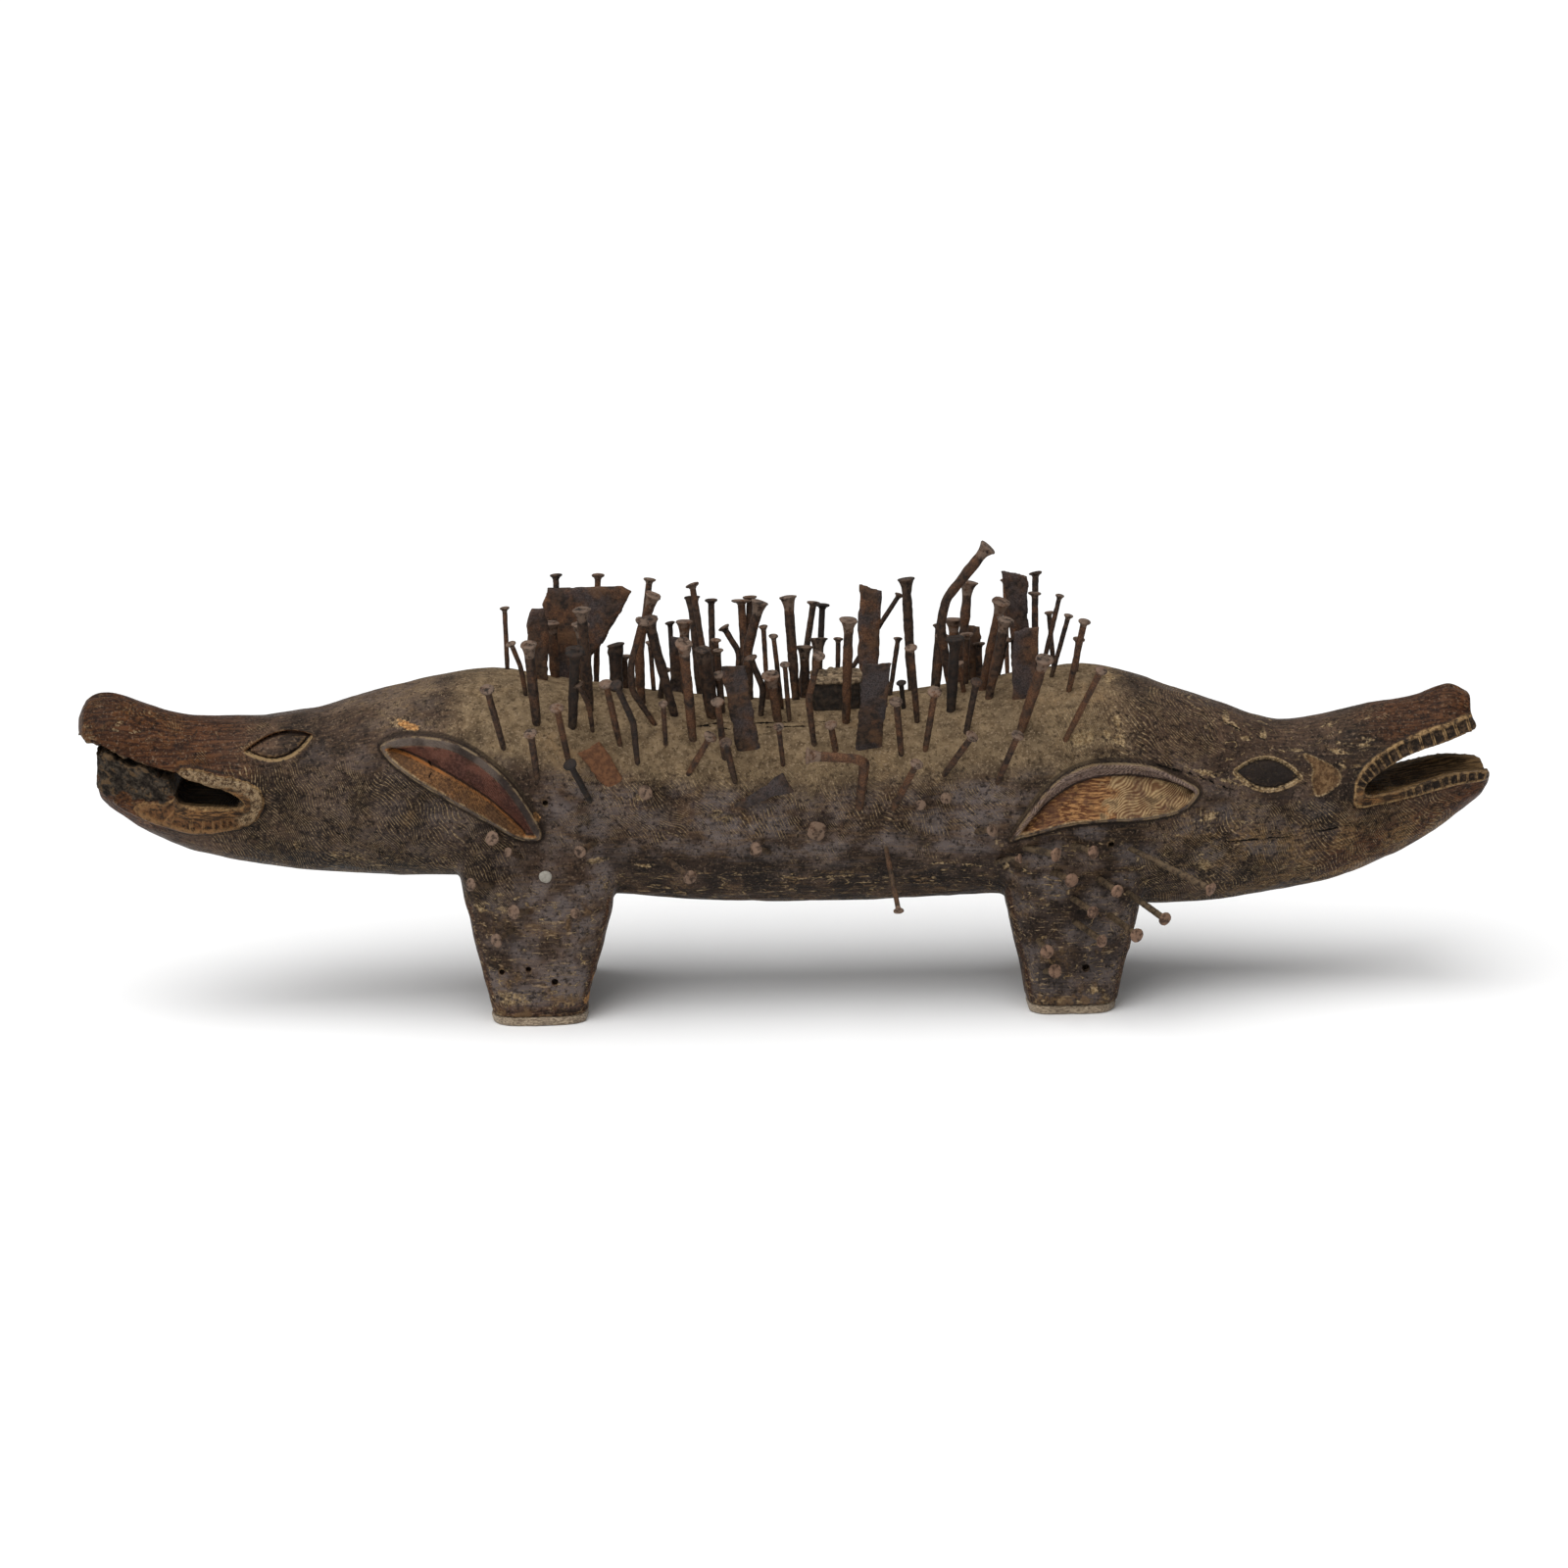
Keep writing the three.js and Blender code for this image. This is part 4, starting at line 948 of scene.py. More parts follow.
def wood_material():
    """Dark oiled wood: dusty on the back, red-brown at the snouts, worn tan along the tool marks."""
    p = Paint("carved_wood")
    p.broad, p.patches, p.mottle = p.noise(70, 5), p.noise(22, 6, 0.6), p.noise(7, 6, 0.62)
    p.fine, p.specks = p.noise(1.6, 4, 0.6), p.noise(3.0, 5, 0.7)
    p.grain = p.noise(1.7, 5, 0.6, stretch=(0.12, 1, 1), warp=3, warp_size=60)
    p.tan = p.fine.shades(0.4, 0.62, (0.17, 0.108, 0.050), (0.36, 0.26, 0.145))
    rot, hollow, right, near_crack = (p.mark(name) for name in ("rot", "hollow", "right", "crack"))

    colour, dusty = dusty_back(p, red_wood(p, bare_wood(p)))
    cuts, lines, ripple = tool_marks(p)
    colour = (cuts.most(lines * 0.8) * 0.9).blend(stains(p, colour, dusty), p.tan)
    colour, swirl = ear_colours(p, worn_spots(p, colour))
    colour, crust = mouth_colours(p, colour)

    # Painted shade deep inside both mouths, and painted light on the lower inside of the right mouth.
    inside = p.mark("inner").ramp(1.6, 3.4)
    lit = right * (p.mark("jaw") + p.grain * 3.0).ramp(4.5, 0.0)
    mouth_shade_and_light = lit.blend(p.grain.shades(0.45, 0.6, (0.013, 0.0085, 0.0040), (0.075, 0.045, 0.018)),
                       p.grain.shades(0.42, 0.62, (0.050, 0.029, 0.012), (0.190, 0.112, 0.047)))
    knocks = hollow.ramp(-0.10, -0.42) * (p.mottle + p.fine * 0.5).ramp(0.68, 0.84)
    crack = (near_crack + p.fine * 1.4 + p.mottle * 1.6 - 1.5).line(0.22, 0.45) * near_crack.ramp(6.0, 4.0)
    colour = layered(
        eye_colours(p, colour),
        ((rot + p.mottle * 0.6 - 0.3).ramp(0.25, 0.6),
         p.specks.shades(0.4, 0.62, (0.016, 0.0125, 0.0100), (0.072, 0.056, 0.041))),
        (knocks * 0.6, (0.16, 0.095, 0.046)),
        # Painted shade: darker where the surface lies below its neighbours, in grooves and recesses.
        (hollow.ramp(0.05, 0.45) * 0.6, (0.012, 0.0085, 0.0065)),
        (inside * 0.9, mouth_shade_and_light),
        (crack, (0.004, 0.003, 0.002)))

    roughness = 0.26 + dusty * 0.5 + p.mottle * 0.35 + rot * 0.35 + inside * 0.35
    height = p.mottle * 0.6 + p.fine * 0.28 + p.grain * 0.42 + p.patches * 0.5
    height = height + cuts * -0.25 + ripple * -0.28 + crack * -0.9 + swirl * 0.3
    height = height + p.specks * rot * 1.8 + p.specks * crust * 1.6 + p.specks * dusty * 0.35
    return p.finish(colour, roughness, height, 1.6, Specular_IOR_Level=0.07)


def plate_layers(p, tone, crust, fine):
    """Bluish plain areas and rust patches on blades, and orange rust on the brightest."""
    plain = (p.noise(26, 5) + crust * 0.3).ramp(0.60, 0.76) * tone.ramp(1.2, 0.9)
    bluish = fine.shades(0.4, 0.6, (0.022, 0.0175, 0.0180), (0.062, 0.050, 0.050))
    orange = crust.shades(0.4, 0.6, (0.085, 0.034, 0.014), (0.170, 0.072, 0.030))
    return ((plain * 0.75, bluish), (p.noise(17, 5).ramp(0.55, 0.66) * 0.55, (0.120, 0.058, 0.026)),
            (tone.ramp(1.0, 1.3) * 0.8, orange))


def iron_material(name, plate=False):
    """Rusted iron: dark brown crust with some orange, and heads rubbed paler."""
    p = Paint(name)
    tone, low, side, head = (p.mark(name) for name in ("tone", "low", "side", "head"))
    patches, crust, fine = p.noise(9, 5, 0.6), p.noise(3.2, 5, 0.65), p.noise(0.9, 3, 0.6)
    rust = fine.shades(0.4, 0.6, (0.066, 0.027, 0.0130), (0.145, 0.066, 0.030))
    brown = crust.shades(0.36, 0.60, (0.024, 0.015, 0.0085), (0.105, 0.072, 0.040))
    pink = crust.shades(0.38, 0.58, (0.056, 0.030, 0.0190), (0.215, 0.126, 0.082))
    rubbed = head.ramp(0.5, 1.0) * tone.ramp(0.15, 0.5) * crust.ramp(0.36, 0.56)
    colour = layered(
        crust.shades(0.38, 0.62, (0.0150, 0.0092, 0.0066), (0.060, 0.033, 0.0200)),
        ((patches + tone * 0.24).ramp(0.60, 0.82) * 0.8, rust),
        (fine.ramp(0.62, 0.72) * 0.35, (0.15, 0.092, 0.052)),
        (tone.ramp(0.30, 0.10) * 0.75, (0.0095, 0.0080, 0.0075)),
        (side * 0.85, brown),
        (rubbed * 0.6, (0.205, 0.145, 0.108)),
        (side * head * 0.9, pink),
        (tone.ramp(1.5, 1.9) * head, (0.30, 0.28, 0.24)),
        (low * crust.ramp(0.4, 0.7) * 0.5, (0.080, 0.056, 0.032)),
        *(plate_layers(p, tone, crust, fine) if plate else ()))
    height = crust * 0.85 + fine * 0.35 + patches * 0.4
    return p.finish(colour, 0.5 + crust * 0.4, height, Metallic=0.2, Specular_IOR_Level=0.25)


def felt_material():
    p = Paint("felt")
    fuzz, patches = p.noise(1.1, 4, 0.7, stretch=(0.5, 1, 1.4), warp=1.5, warp_size=3), p.noise(12, 4)
    colour = layered(
        fuzz.shades(0.38, 0.62, (0.120, 0.082, 0.050), (0.42, 0.33, 0.225)),
        (patches.ramp(0.5, 0.68) * 0.45, (0.085, 0.058, 0.036)))
    return p.finish(colour, 0.95, fuzz * 0.8, Sheen_Weight=0.25)


def pack_material():
    """Dark clay under a pale crust with fibres, and painted shade in its pits."""
    p = Paint("medicine_clay")
    crust, specks, fine = p.mark("crust"), p.noise(3.4, 6, 0.7), p.noise(1.2, 4, 0.65)
    dark = specks.shades(0.42, 0.66, (0.011, 0.0075, 0.005), (0.040, 0.025, 0.015))
    pale = specks.shades(0.38, 0.60, (0.060, 0.038, 0.021), (0.25, 0.180, 0.110))
    fibres = p.noise(2.0, 3, 0.5, stretch=(0.4, 1, 2), warp=6, warp_size=9).ramp(0.58, 0.66)
    colour = layered(
        crust.blend(dark, (fibres * 0.6).blend(pale, (0.27, 0.20, 0.125))),
        # Painted shade in the pits, where the surface is pushed in.
        (p.mark("pit_shade") * 0.7, (0.010, 0.007, 0.005)),
        (fine.ramp(0.6, 0.72) * 0.3, (0.12, 0.08, 0.05)))
    height = specks * 1.2 + fine * 0.4 + fibres * crust * 0.5
    return p.finish(colour, 0.55 + crust * 0.35, height, Specular_IOR_Level=0.2)


# Wear of the carving: how far its surface moves, and values at its vertices that colour it, painted shade and
# sheen among them

def hollowness(thing, points, normals, rounds=2):
    """How far each vertex lies below its neighbours, in millimetres."""
    edges = np.empty(len(thing.data.edges) * 2, np.int32)
    thing.data.edges.foreach_get("vertices", edges)
    first, second = edges.reshape(-1, 2).T
    count = np.bincount(edges, minlength=len(points))[:, None]
    smooth = points
    for _ in range(rounds):
        total = np.zeros_like(points)
        for axis in range(3):
            total[:, axis] = (np.bincount(first, smooth[second, axis], len(points))
                              + np.bincount(second, smooth[first, axis], len(points)))
        smooth = total / np.maximum(count, 1)
    return np.einsum("ij,ij->i", smooth - points, normals)


def crack_distance(along, turn, reach):
    """Distance to the nearest crack over the surface, in millimetres."""
    nearest = np.full(len(along), 99.0)
    for crack in CRACKS:
        for (x0, t0), (x1, t1) in zip(crack, crack[1:]):
            way_x, way_t = (x1 - x0) * UNIT, np.radians(t1 - t0) * reach
            off_x, off_t = (along - x0) * UNIT, np.radians(turn - t0) * reach
            share = np.clip((off_x * way_x + off_t * way_t) / (way_x ** 2 + way_t ** 2 + 1e-6), 0, 1)
            nearest = np.minimum(nearest, np.hypot(off_x - share * way_x, off_t - share * way_t))
    return nearest


def spot_depth(x, z, spots):
    """1 in the middle of the nearest spot, 0 at its edge, less outside it."""
    best = np.full(len(x), -1.0)
    for along, up, half_length, half_height, slope in spots:
        turn = math.radians(slope)
        ahead, above = x - along * UNIT, z - up * UNIT
        u = (ahead * math.cos(turn) + above * math.sin(turn)) / half_length
        v = (above * math.cos(turn) - ahead * math.sin(turn)) / half_height
        best = np.maximum(best, 1 - np.hypot(u, v))
    return best


def decayed(along, up, points):
    """1 on the decayed front of the left lower jaw, under the upper lip."""
    eaten = 15.5 + 0.35 * np.maximum(-45.5 - along, 0) + 0.9 * rough(points, 12, 18)
    lip_edge = 17.6 + 0.38 * np.maximum(-43.5 - along, 0)
    return step(-42.4, -43.6, along) * step(-0.4, 0.4, up - eaten) * step(0.25, -0.1, up - lip_edge)


def survey(points, normals):
    """Where each vertex is, in the terms that wear depends on."""
    x, y, z = points.T
    along, up = x / UNIT, z / UNIT
    height, tall, broad = (v * UNIT for v in smooth_at(TRUNK, along))
    turn, reach = np.degrees(np.arctan2(-y, z - height)), np.hypot(y, z - height)
    depth = -radial(y, z - height, broad, tall, TRUNK_ROUNDNESS)
    belly = window(up, 6.9, 10.2, 0.5) * window(along, -13, 21, 1.5)
    carved = most(*(inside_of(x, z, shape) for head in (left, right)
                    for shape in (head.ear, head.band, head.eye)))
    open_wood = step(-1, -5, carved) * step(3, 0, depth)
    return SimpleNamespace(
        points=points, x=x, y=y, z=z, along=along, up=up, nx=normals[:, 0], nz=normals[:, 2],
        depth=depth, belly=belly, near=step(5, -5, y), below=step(9.5, 8.5, up) * (1 - belly),
        open_wood=open_wood, tooled=scallops(points * (0.55, 1, 1), 19, 16),
        rot=decayed(along, up, points), crack=crack_distance(along, turn, reach),
        spot=spot_depth(x, z, SPOTS), chip=spot_depth(x, z, ORANGE_CHIPS))


def worn_shift(s):
    """How far the surface moves outwards: waves, adze cuts, decay, cracks, chips and the worn foot."""
    points = s.points
    shift = 0.42 * noise(points * (0.45, 1, 1), 30, 11) + 0.30 * noise(points * (0.55, 1, 1), 12, 12)
    shift += 0.12 * rough(points, 6, 13) + s.rot * 1.7 * rough(points, 8, 14)
    shift += 1.5 * s.rot * rough(points, 4.5, 19)
    shift -= 1.3 * s.open_wood * s.tooled
    shift -= 0.5 * np.exp(-(s.crack / 1.4) ** 2)
    shift += 0.6 * s.belly * rough(points * (0.4, 1, 1), 7, 15)
    chipped = most(step(-0.2, 0.4, s.spot), step(-0.2, 0.4, s.chip))
    shift -= 0.7 * s.near * chipped * (0.6 + rough(points, 4, 17))
    worn_foot = step(7, 2, s.z) * s.near * window(s.along, -23, -13, 1.5)
    shift -= worn_foot * (0.9 + 1.3 * rough(points * (1, 1, 0.5), 9, 20)).clip(0, 3)
    return shift * step(0.0, 0.9, s.z)


def worn_areas(s):
    """Shares of dust, warm wood, painted shade with darker wood, painted sheen, scratches, chips, gold and
    ripples.
    """
    x, z, nz = s.along, s.up, s.nz
    along, up = partial(window, x), partial(window, z)
    on_trunk = step(-3, -1, s.depth)
    by_legs = np.abs(x) < 28
    leg_edge = step(0.5, 0.85, np.abs(s.nx)) * step(9.5, 8.0, z) * by_legs
    plain = 1 - 0.45 * step(0, 20, s.y)
    chips = most(s.belly * step(11.0, 9.4, z) + 0.5 * along(30, 47, 3) * step(0.0, -0.7, nz),
                 0.7 * along(-34, -22, 3) * step(-0.1, -0.8, nz), 0.95 * leg_edge)
    scratch = (0.75 * (s.below + s.belly) + 0.4 * along(-33, -22, 2) * up(8.5, 12.5, 0.8)
               + 0.5 * along(14, 40, 4) * up(6, 13, 2) + 0.55 * along(30, 43, 2) * up(15.5, 19.5, 0.8)
               + 0.25 * along(-34, 36, 4) + 0.4 * step(-46, -49, x) + 0.3 * leg_edge)
    ripple = (0.95 * along(-40, -20, 3) * up(8.5, 17.5, 1.5) + 0.9 * along(26, 47, 3) * up(6.5, 13.8, 1.0)
              + 0.8 * along(19, 30, 2) * up(17.6, 21.5, 0.8)
              + 0.4 * along(-15, 14, 3) * up(13, 18, 1.0) + 0.3)
    gold = along(31, 49, 3) * up(6.5, 12.5, 1.0) + 0.6 * along(27, 33, 2) * up(11.5, 14.5, 0.8)
    # This share marks where the bluish sheen is painted: the flank band between top and belly, the left neck
    # and the right jaw.
    smooth = (along(-24, 30, 5) * step(0.6, 0.1, nz) * step(-0.7, -0.2, nz) + 0.4 * along(-34, -24, 3)
              + 0.7 * along(27, 40, 3) * up(8.5, 14.5, 1.5))
    dust = most(step(0.0, 0.62, nz) * (0.05 + 0.95 * along(-22.5, 23, 5)),
                0.32 * step(0.3, 0.9, nz) * along(-33, 28, 5))
    warm = most(
        0.95 * step(-33, -44, x) * step(14.2, 16.5, z), 0.95 * step(-42.5, -44.0, x) * step(12.8, 13.8, z),
        0.75 * leg_edge, step(46.5, 48.6, x) * step(16.2, 17.5, z),
        0.62 * step(37, 44, x) * step(16.5, 18.5, z),
        0.95 * along(37, 51, 3) * step(0.2, -0.6, nz) * step(16, 14, z),
        0.6 * step(15, 17, x) * step(0.35, 0.85, s.nx) * step(9.5, 7, z),
        0.55 * along(-24, -12, 1) * step(1.8, 0.4, z))
    # Painted shade under the body, along the belly, low on the right leg and under the left neck; darker wood
    # on the sides of both heads and at the left tip.
    shade_and_dark_wood = most(
        step(-0.05, -0.6, nz) * along(-36, 38, 4) + 0.75 * along(14, 27, 1) * step(9.5, 7.5, z),
        0.7 * along(-37, -22, 3) * step(9.5, 7.5, z),
        0.75 * along(-38, -19, 3) * up(8, 19, 1) * step(0.8, 0.4, nz),
        0.6 * along(29, 41, 3) * up(12, 21, 1) * step(0.95, 0.6, nz),
        0.5 * along(-12, 15, 4) * up(7.5, 10.5, 1), 0.55 * step(-46.0, -49.0, x))
    return {
        "dust": dust * on_trunk, "warm": warm, "shade_and_dark_wood": shade_and_dark_wood.clip(0, 1), "smooth": smooth.clip(0, 1),
        "scratch": scratch * plain, "chips": chips * plain, "ripple": ripple * plain, "gold": gold * plain,
        # The tool facets here also set where the painted sheen is brightest in the wood's colour.
        "rot": s.rot, "tooled": s.tooled * s.open_wood, "legs": step(9.6, 8.4, z) * (1 - s.belly) * by_legs,
        "crack": s.crack.clip(0, 8), "inner": s.depth.clip(0, 20) * (np.abs(x) > 37),
        "spot": s.spot * s.near - (1 - s.near), "chip": s.chip * s.near - (1 - s.near),
    }


def carved_areas(s):
    """Where each vertex is in the ears, tooth bands and eyes."""
    x, z, along, up = s.x, s.z, s.along, s.up
    on_right = along > 0

    def either(places):
        return [np.where(on_right, b, a) for a, b in zip(places(x, z, left), places(x, z, right))]

    band, share, count, _ = either(band_places)
    ear_edge, ear, fold = either(ear_places)
    eye = np.where(on_right, inside_of(x, z, right.eye), inside_of(x, z, left.eye))
    outside = step(4.0, 2.0, s.depth) * step(-47.5, -45.0, along)
    crumbly = most(step(15.8, 16.5, up), step(-39.2, -38.0, along) * step(13.6, 14.4, up))
    crumbly = crumbly * step(-46.5, -44.0, along) * step(0.30, 0.45, share + step(-39, -41, along))
    no_teeth = step(15.2, 16.3, up) + step(0.50, 0.44, share)
    lid = z - LEFT_EYE[1] * UNIT - (x - LEFT_EYE[0] * UNIT) * math.tan(math.radians(LEFT_EYE[5]))
    return {
        "right": on_right, "band": band.clip(-8, 8) * outside - 8 * (1 - outside),
        "share": share, "teeth": count,
        "toothless": np.where(on_right, plain_jaw(x, z), no_teeth).clip(0, 1),
        "crumbly": np.where(on_right, 0, crumbly), "jaw": (z - 15.4 * UNIT).clip(-8, 8),
        "ear": ear.clip(-8, 12), "ear_edge": ear_edge.clip(-8, 12), "fold": fold.clip(-8, 8),
        "swirled": window(along, 22.6, 30, 3.0), "eye": eye.clip(-8, 8), "lid": lid.clip(-8, 8),
        "facet": inside_of(x, z, eye_facet).clip(-6, 6),
    }


def wear(thing):
    """Moves the carved surface a little and marks where it is dusty, worn, cut or decayed, and where shade
    and sheen are painted.
    """
    points, normals = (vertices_of(thing) - np.array(START)) / MM, normals_of(thing)
    s = survey(points, normals)
    points = points + normals * worn_shift(s)[:, None]
    points[:, 2] = np.maximum(points[:, 2], 0)
    # Each vertex's depth below its neighbours: the colour paints shade in recesses with it, and tan wear on
    # ridges.
    areas = worn_areas(s) | carved_areas(s) | {"hollow": hollowness(thing, points, normals)}
    for name, values in areas.items():
        mark(thing, name, values)
    set_vertices(thing, points * MM + np.array(START))


# Iron driven into the wood

# Kinds of nails: diameter of the shank, diameter and thickness of the head in millimetres
NAIL_KINDS = {
    "slim": (3.2, 6.4, 1.5),
    "common": (4.2, 8.6, 1.8),
    "heavy": (6.0, 11.0, 2.2),
    "spike": (8.6, 10.4, 2.6),
    "capped": (5.2, 13.0, 1.8),
}
# Nails in the back. Each row gives the place along in percent, then the turn from the ridge down the
# near side, the tilt towards the near side and the lean to the right in degrees, and the length that
# shows in millimetres. A bend gives a share of that length and the lean after it.
SOLID_NAILS = {
    "slim": [
        (-19.6, -14, -7, -1, 40), (3.3, -38, -19, 34, 85), (18.5, -8, -4, 14, 49), (7.0, 106, 130, 8, 48),
    ],
    "common": [
        (-19.6, 61, 30, -8, 53), (-13.4, -34, -17, 2, 72), (-13.7, 82, 41, -14, 43), (-17.3, 74, 37, -2, 46),
        (-15.1, 62, 31, -6, 49), (-11.5, 49, 24, -8, 50), (-10.3, 58, 29, -2, 70, ((0.5, -16),)),
        (-10.5, -30, -15, 8, 72), (-9.1, 33, 16, -28, 80, ((0.35, 0), (0.6, 15))), (-5.2, -32, -16, -8, 75),
        (-4.2, 51, 25, -4, 47), (-6.7, 61, 30, 24, 36), (1.1, -32, -16, 10, 65),
        (2.1, 42, 21, -5, 70, ((0.5, 12),)), (9.4, 32, 16, -4, 55), (12.8, 43, 21, 9, 40),
        (11.2, 65, 32, 26, 39), (7.6, 81, 40, 16, 51), (18.1, -34, -17, 2, 66), (20.1, 25, 12, 11, 50),
        (19.7, 53, 26, 20, 61), (24.2, 110, 105, 43, 69), (24.0, 132, 95, 24, 50), (22.7, 138, 95, 24, 37),
    ],
    "heavy": [
        (-17.3, 44, 22, -2, 61), (-13.6, 28, 14, -2, 72), (-14.8, 42, 21, 4, 58),
        (-10.0, 16, 8, -1, 75, ((0.55, 18),)), (-6.9, -10, -5, 0, 47), (-6.4, 41, 20, -3, 73),
        (-2.4, -6, -3, -1, 64, ((0.5, 16),)), (0.9, -6, -3, -3, 67), (4.4, 27, 14, 2, 73),
        (5.2, 78, 24, 6, 72, ((0.48, -58), (0.56, -84))), (9.2, -12, -6, -2, 72),
        (11.9, 10, 5, -8, 108, ((0.43, 12), (0.6, 38))), (12.6, -14, -7, 6, 65), (14.1, 10, 5, 12, 60),
        (16.6, 46, 23, 14, 58),
    ],
    "spike": [(-5.0, 22, 11, -6, 47)],
    "capped": [(-2.6, -28, -14, -2, 64)],
}
OTHER_NAILS = {
    "slim": [
        (-18.1, 25, 12, -6, 38, ((0.5, -18),)), (-13.4, 43, 21, -4, 38, ((0.5, -20),)),
        (-9.2, -10, -5, -3, 32),
        (-8.3, 46, 23, -1, 33), (-7.8, -22, -11, -2, 45), (-4.5, 2, 1, -2, 41), (-4.3, 8, 4, -3, 37),
        (-1.1, -6, -3, -2, 48), (-0.1, 12, 6, -5, 50), (-0.1, 54, 27, -4, 33),
        (0.4, 24, 12, -3, 40), (3.9, -24, -12, 2, 38), (7.6, -4, -2, 9, 38), (8.5, 19, 9, -5, 18),
        (12.8, 10, 5, -8, 20), (16.2, -40, -20, 0, 68), (19.4, -20, -10, -4, 35), (19.0, 10, 5, 15, 43),
    ],
    "common": [
        (-17.2, -22, -11, 1, 36), (-16.1, -30, -15, 0, 67), (-11.2, -8, -4, -1, 21), (-8.7, 6, 3, 10, 20),
        (-5.0, -26, -13, 0, 63), (-4.3, 18, 9, -5, 26), (-3.5, 64, 32, -8, 37),
        (-3.3, -30, -15, 4, 50, ((0.6, -30),)),
        (-2.5, -30, -15, 2, 67), (-1.6, 20, 10, 6, 42, ((0.45, -20),)), (2.5, -26, -13, 4, 61),
        (3.6, 46, 23, -8, 21), (8.2, 51, 25, -4, 44), (9.9, 50, 25, 7, 48), (10.8, -26, -13, 6, 41),
        (10.9, 4, 2, 6, 38), (13.0, -4, -2, 2, 33), (14.9, 72, 36, 14, 48), (15.3, -12, -6, 14, 25),
        (20.7, 6, 3, 7, 22), (18.0, -6, -3, 0, 51), (14.1, -24, -12, 0, 24),
    ],
    "heavy": [
        (-16.2, -12, -6, -3, 35), (-13.9, 8, 4, -3, 44), (-5.9, -36, -18, -4, 67), (-0.4, 24, 12, -7, 32),
        (1.6, -14, -7, 0, 33), (2.3, -10, -5, 4, 39), (11.8, 27, 13, 3, 51), (12.3, -20, -10, 0, 41),
        (14.5, 21, 10, 11, 55), (-7.7, 24, 12, -12, 68),
    ],
    "spike": [(-11.8, 2, 1, 0, 30)],
}
# On the sides and legs: place along, height, tilt, lean and length
SIDE_NAILS = {
    "slim": [
        (14.8, 10.6, 60, 30, 20, ((0.5, 80),)), (-15.2, 7.4, 60, 13, 12), (-18.7, 11.8, 58, -28, 16),
        (9.4, 14.9, 62, 2, 9), (11.2, 15.5, 70, 2, 7),
    ],
    "common": [
        (-17.0, 10.5, 88, 4, 5), (-13.5, 12.8, 90, -25, 20), (-20.1, 13.4, 74, -21, 12),
        (-20.8, 9.8, 70, -43, 19), (-18.2, 7.9, 74, -37, 16), (-19.4, 6.6, 96, -30, 20),
        (16.9, 11.8, 90, 49, 24), (20.2, 12.0, 90, 35, 20), (18.8, 9.9, 90, 31, 20), (21.9, 9.4, 90, 20, 30),
        (20.1, 8.0, 92, 22, 30), (20.2, 6.3, 96, 26, 36), (17.7, 4.9, 94, 12, 20), (18.2, 2.6, 72, 22, 14),
        (13.5, 13.1, 70, 38, 14), (-8.5, 11.4, 96, 28, 34), (-1.3, 11.8, 66, -32, 15),
        (-9.7, 16.4, 75, -5, 8),
    ],
    "heavy": [(2.2, 13.4, 86, -4, 4)],
}
SIDE_TONE, SIDE_TONES = 0.5, {(-17.0, 10.5): 2.0, (2.2, 13.4): 0.8}      # the first head is silvery
FAR_NAILS = {
    "common": [(-13.0, 12.0, 90, -20, 22), (-6.0, 14.0, 84, 10, 20), (4.0, 12.5, 88, -14, 23),
               (19.5, 9.0, 92, 22, 24), (22.0, 6.4, 92, 12, 22), (-18.0, 8.0, 90, -18, 20)],
    "slim": [(-10.0, 17.0, 70, 12, 23), (0.0, 17.2, 66, -10, 29), (9.0, 17.0, 70, 6, 25)],
}
# Blades: the same placing without its length, then thickness, breadth at the wood, face and outline in
# millimetres
BLADES = {
    "broken_plate": ((-15.2, -24, -12, 0), 2.5, 24, 6, (
        (14, 15), (22, 23), (30, 37), (41, 55.5), (35, 59.5), (-13, 59.5), (-17, 48), (-12, 16))),
    "flank_flake": ((-12.0, 70, 6, -33), 2, 14, 10, ((8, 27), (-7, 28))),
    "front_strip": ((-2.5, 45, 22, -8), 2.5, 15, 4, ((8, 63), (-7, 67))),
    "tall_strip": ((6.0, -24, -12, 4), 2.5, 13, -6, ((7, 68), (-8.5, 71))),
    "near_strip": ((5.9, 46, 23, 5), 2.5, 17, 5, ((9, 68), (-9, 67))),
    "flared_strip": ((17.0, -12, -6, -3), 2.5, 12, -8, ((7, 38), (8.5, 62), (-8, 65), (-6, 35))),
    "short_strip": ((16.9, 26, 13, 2), 2.5, 15, 0, ((8, 50), (-8, 47))),
    "flank_spike": ((-3.0, 77, 34, 56), 3, 7, 12, ((3.5, 13), (7, 34), (-8, 36), (-3.5, 13))),
    "small_plate": ((13.6, -26, -13, 0), 2, 11, 0, ((6, 36), (-6, 37))),
}
OTHER_BLADES = {
    "left_strip": ((-17.3, 2, 1, 1), 2.5, 13, 0, ((7, 38), (4, 47), (-4, 47), (-7, 36))),
    "middle_strip": ((-7.4, -18, -9, 2), 2.5, 12, 0, ((7, 34), (-6, 36))),
}
PADS = (("left_near", LEFT_LEG, -1), ("left_far", LEFT_LEG, 1),
        ("right_near", RIGHT_LEG, -1), ("right_far", RIGHT_LEG, 1))


def pointing(tilt, lean):
    """The way a nail or blade points out of the wood."""
    tilt, lean = math.radians(tilt), math.radians(lean)
    return np.array((math.sin(lean), -math.cos(lean) * math.sin(tilt), math.cos(lean) * math.cos(tilt)))


def hit(surface, start, way):
    """Where a ray from outside meets the wood, in millimetres of the carving."""
    place, *_ = surface.ray_cast(START + Vector(start) * MM, Vector(way))
    return np.array((place - START) / MM)


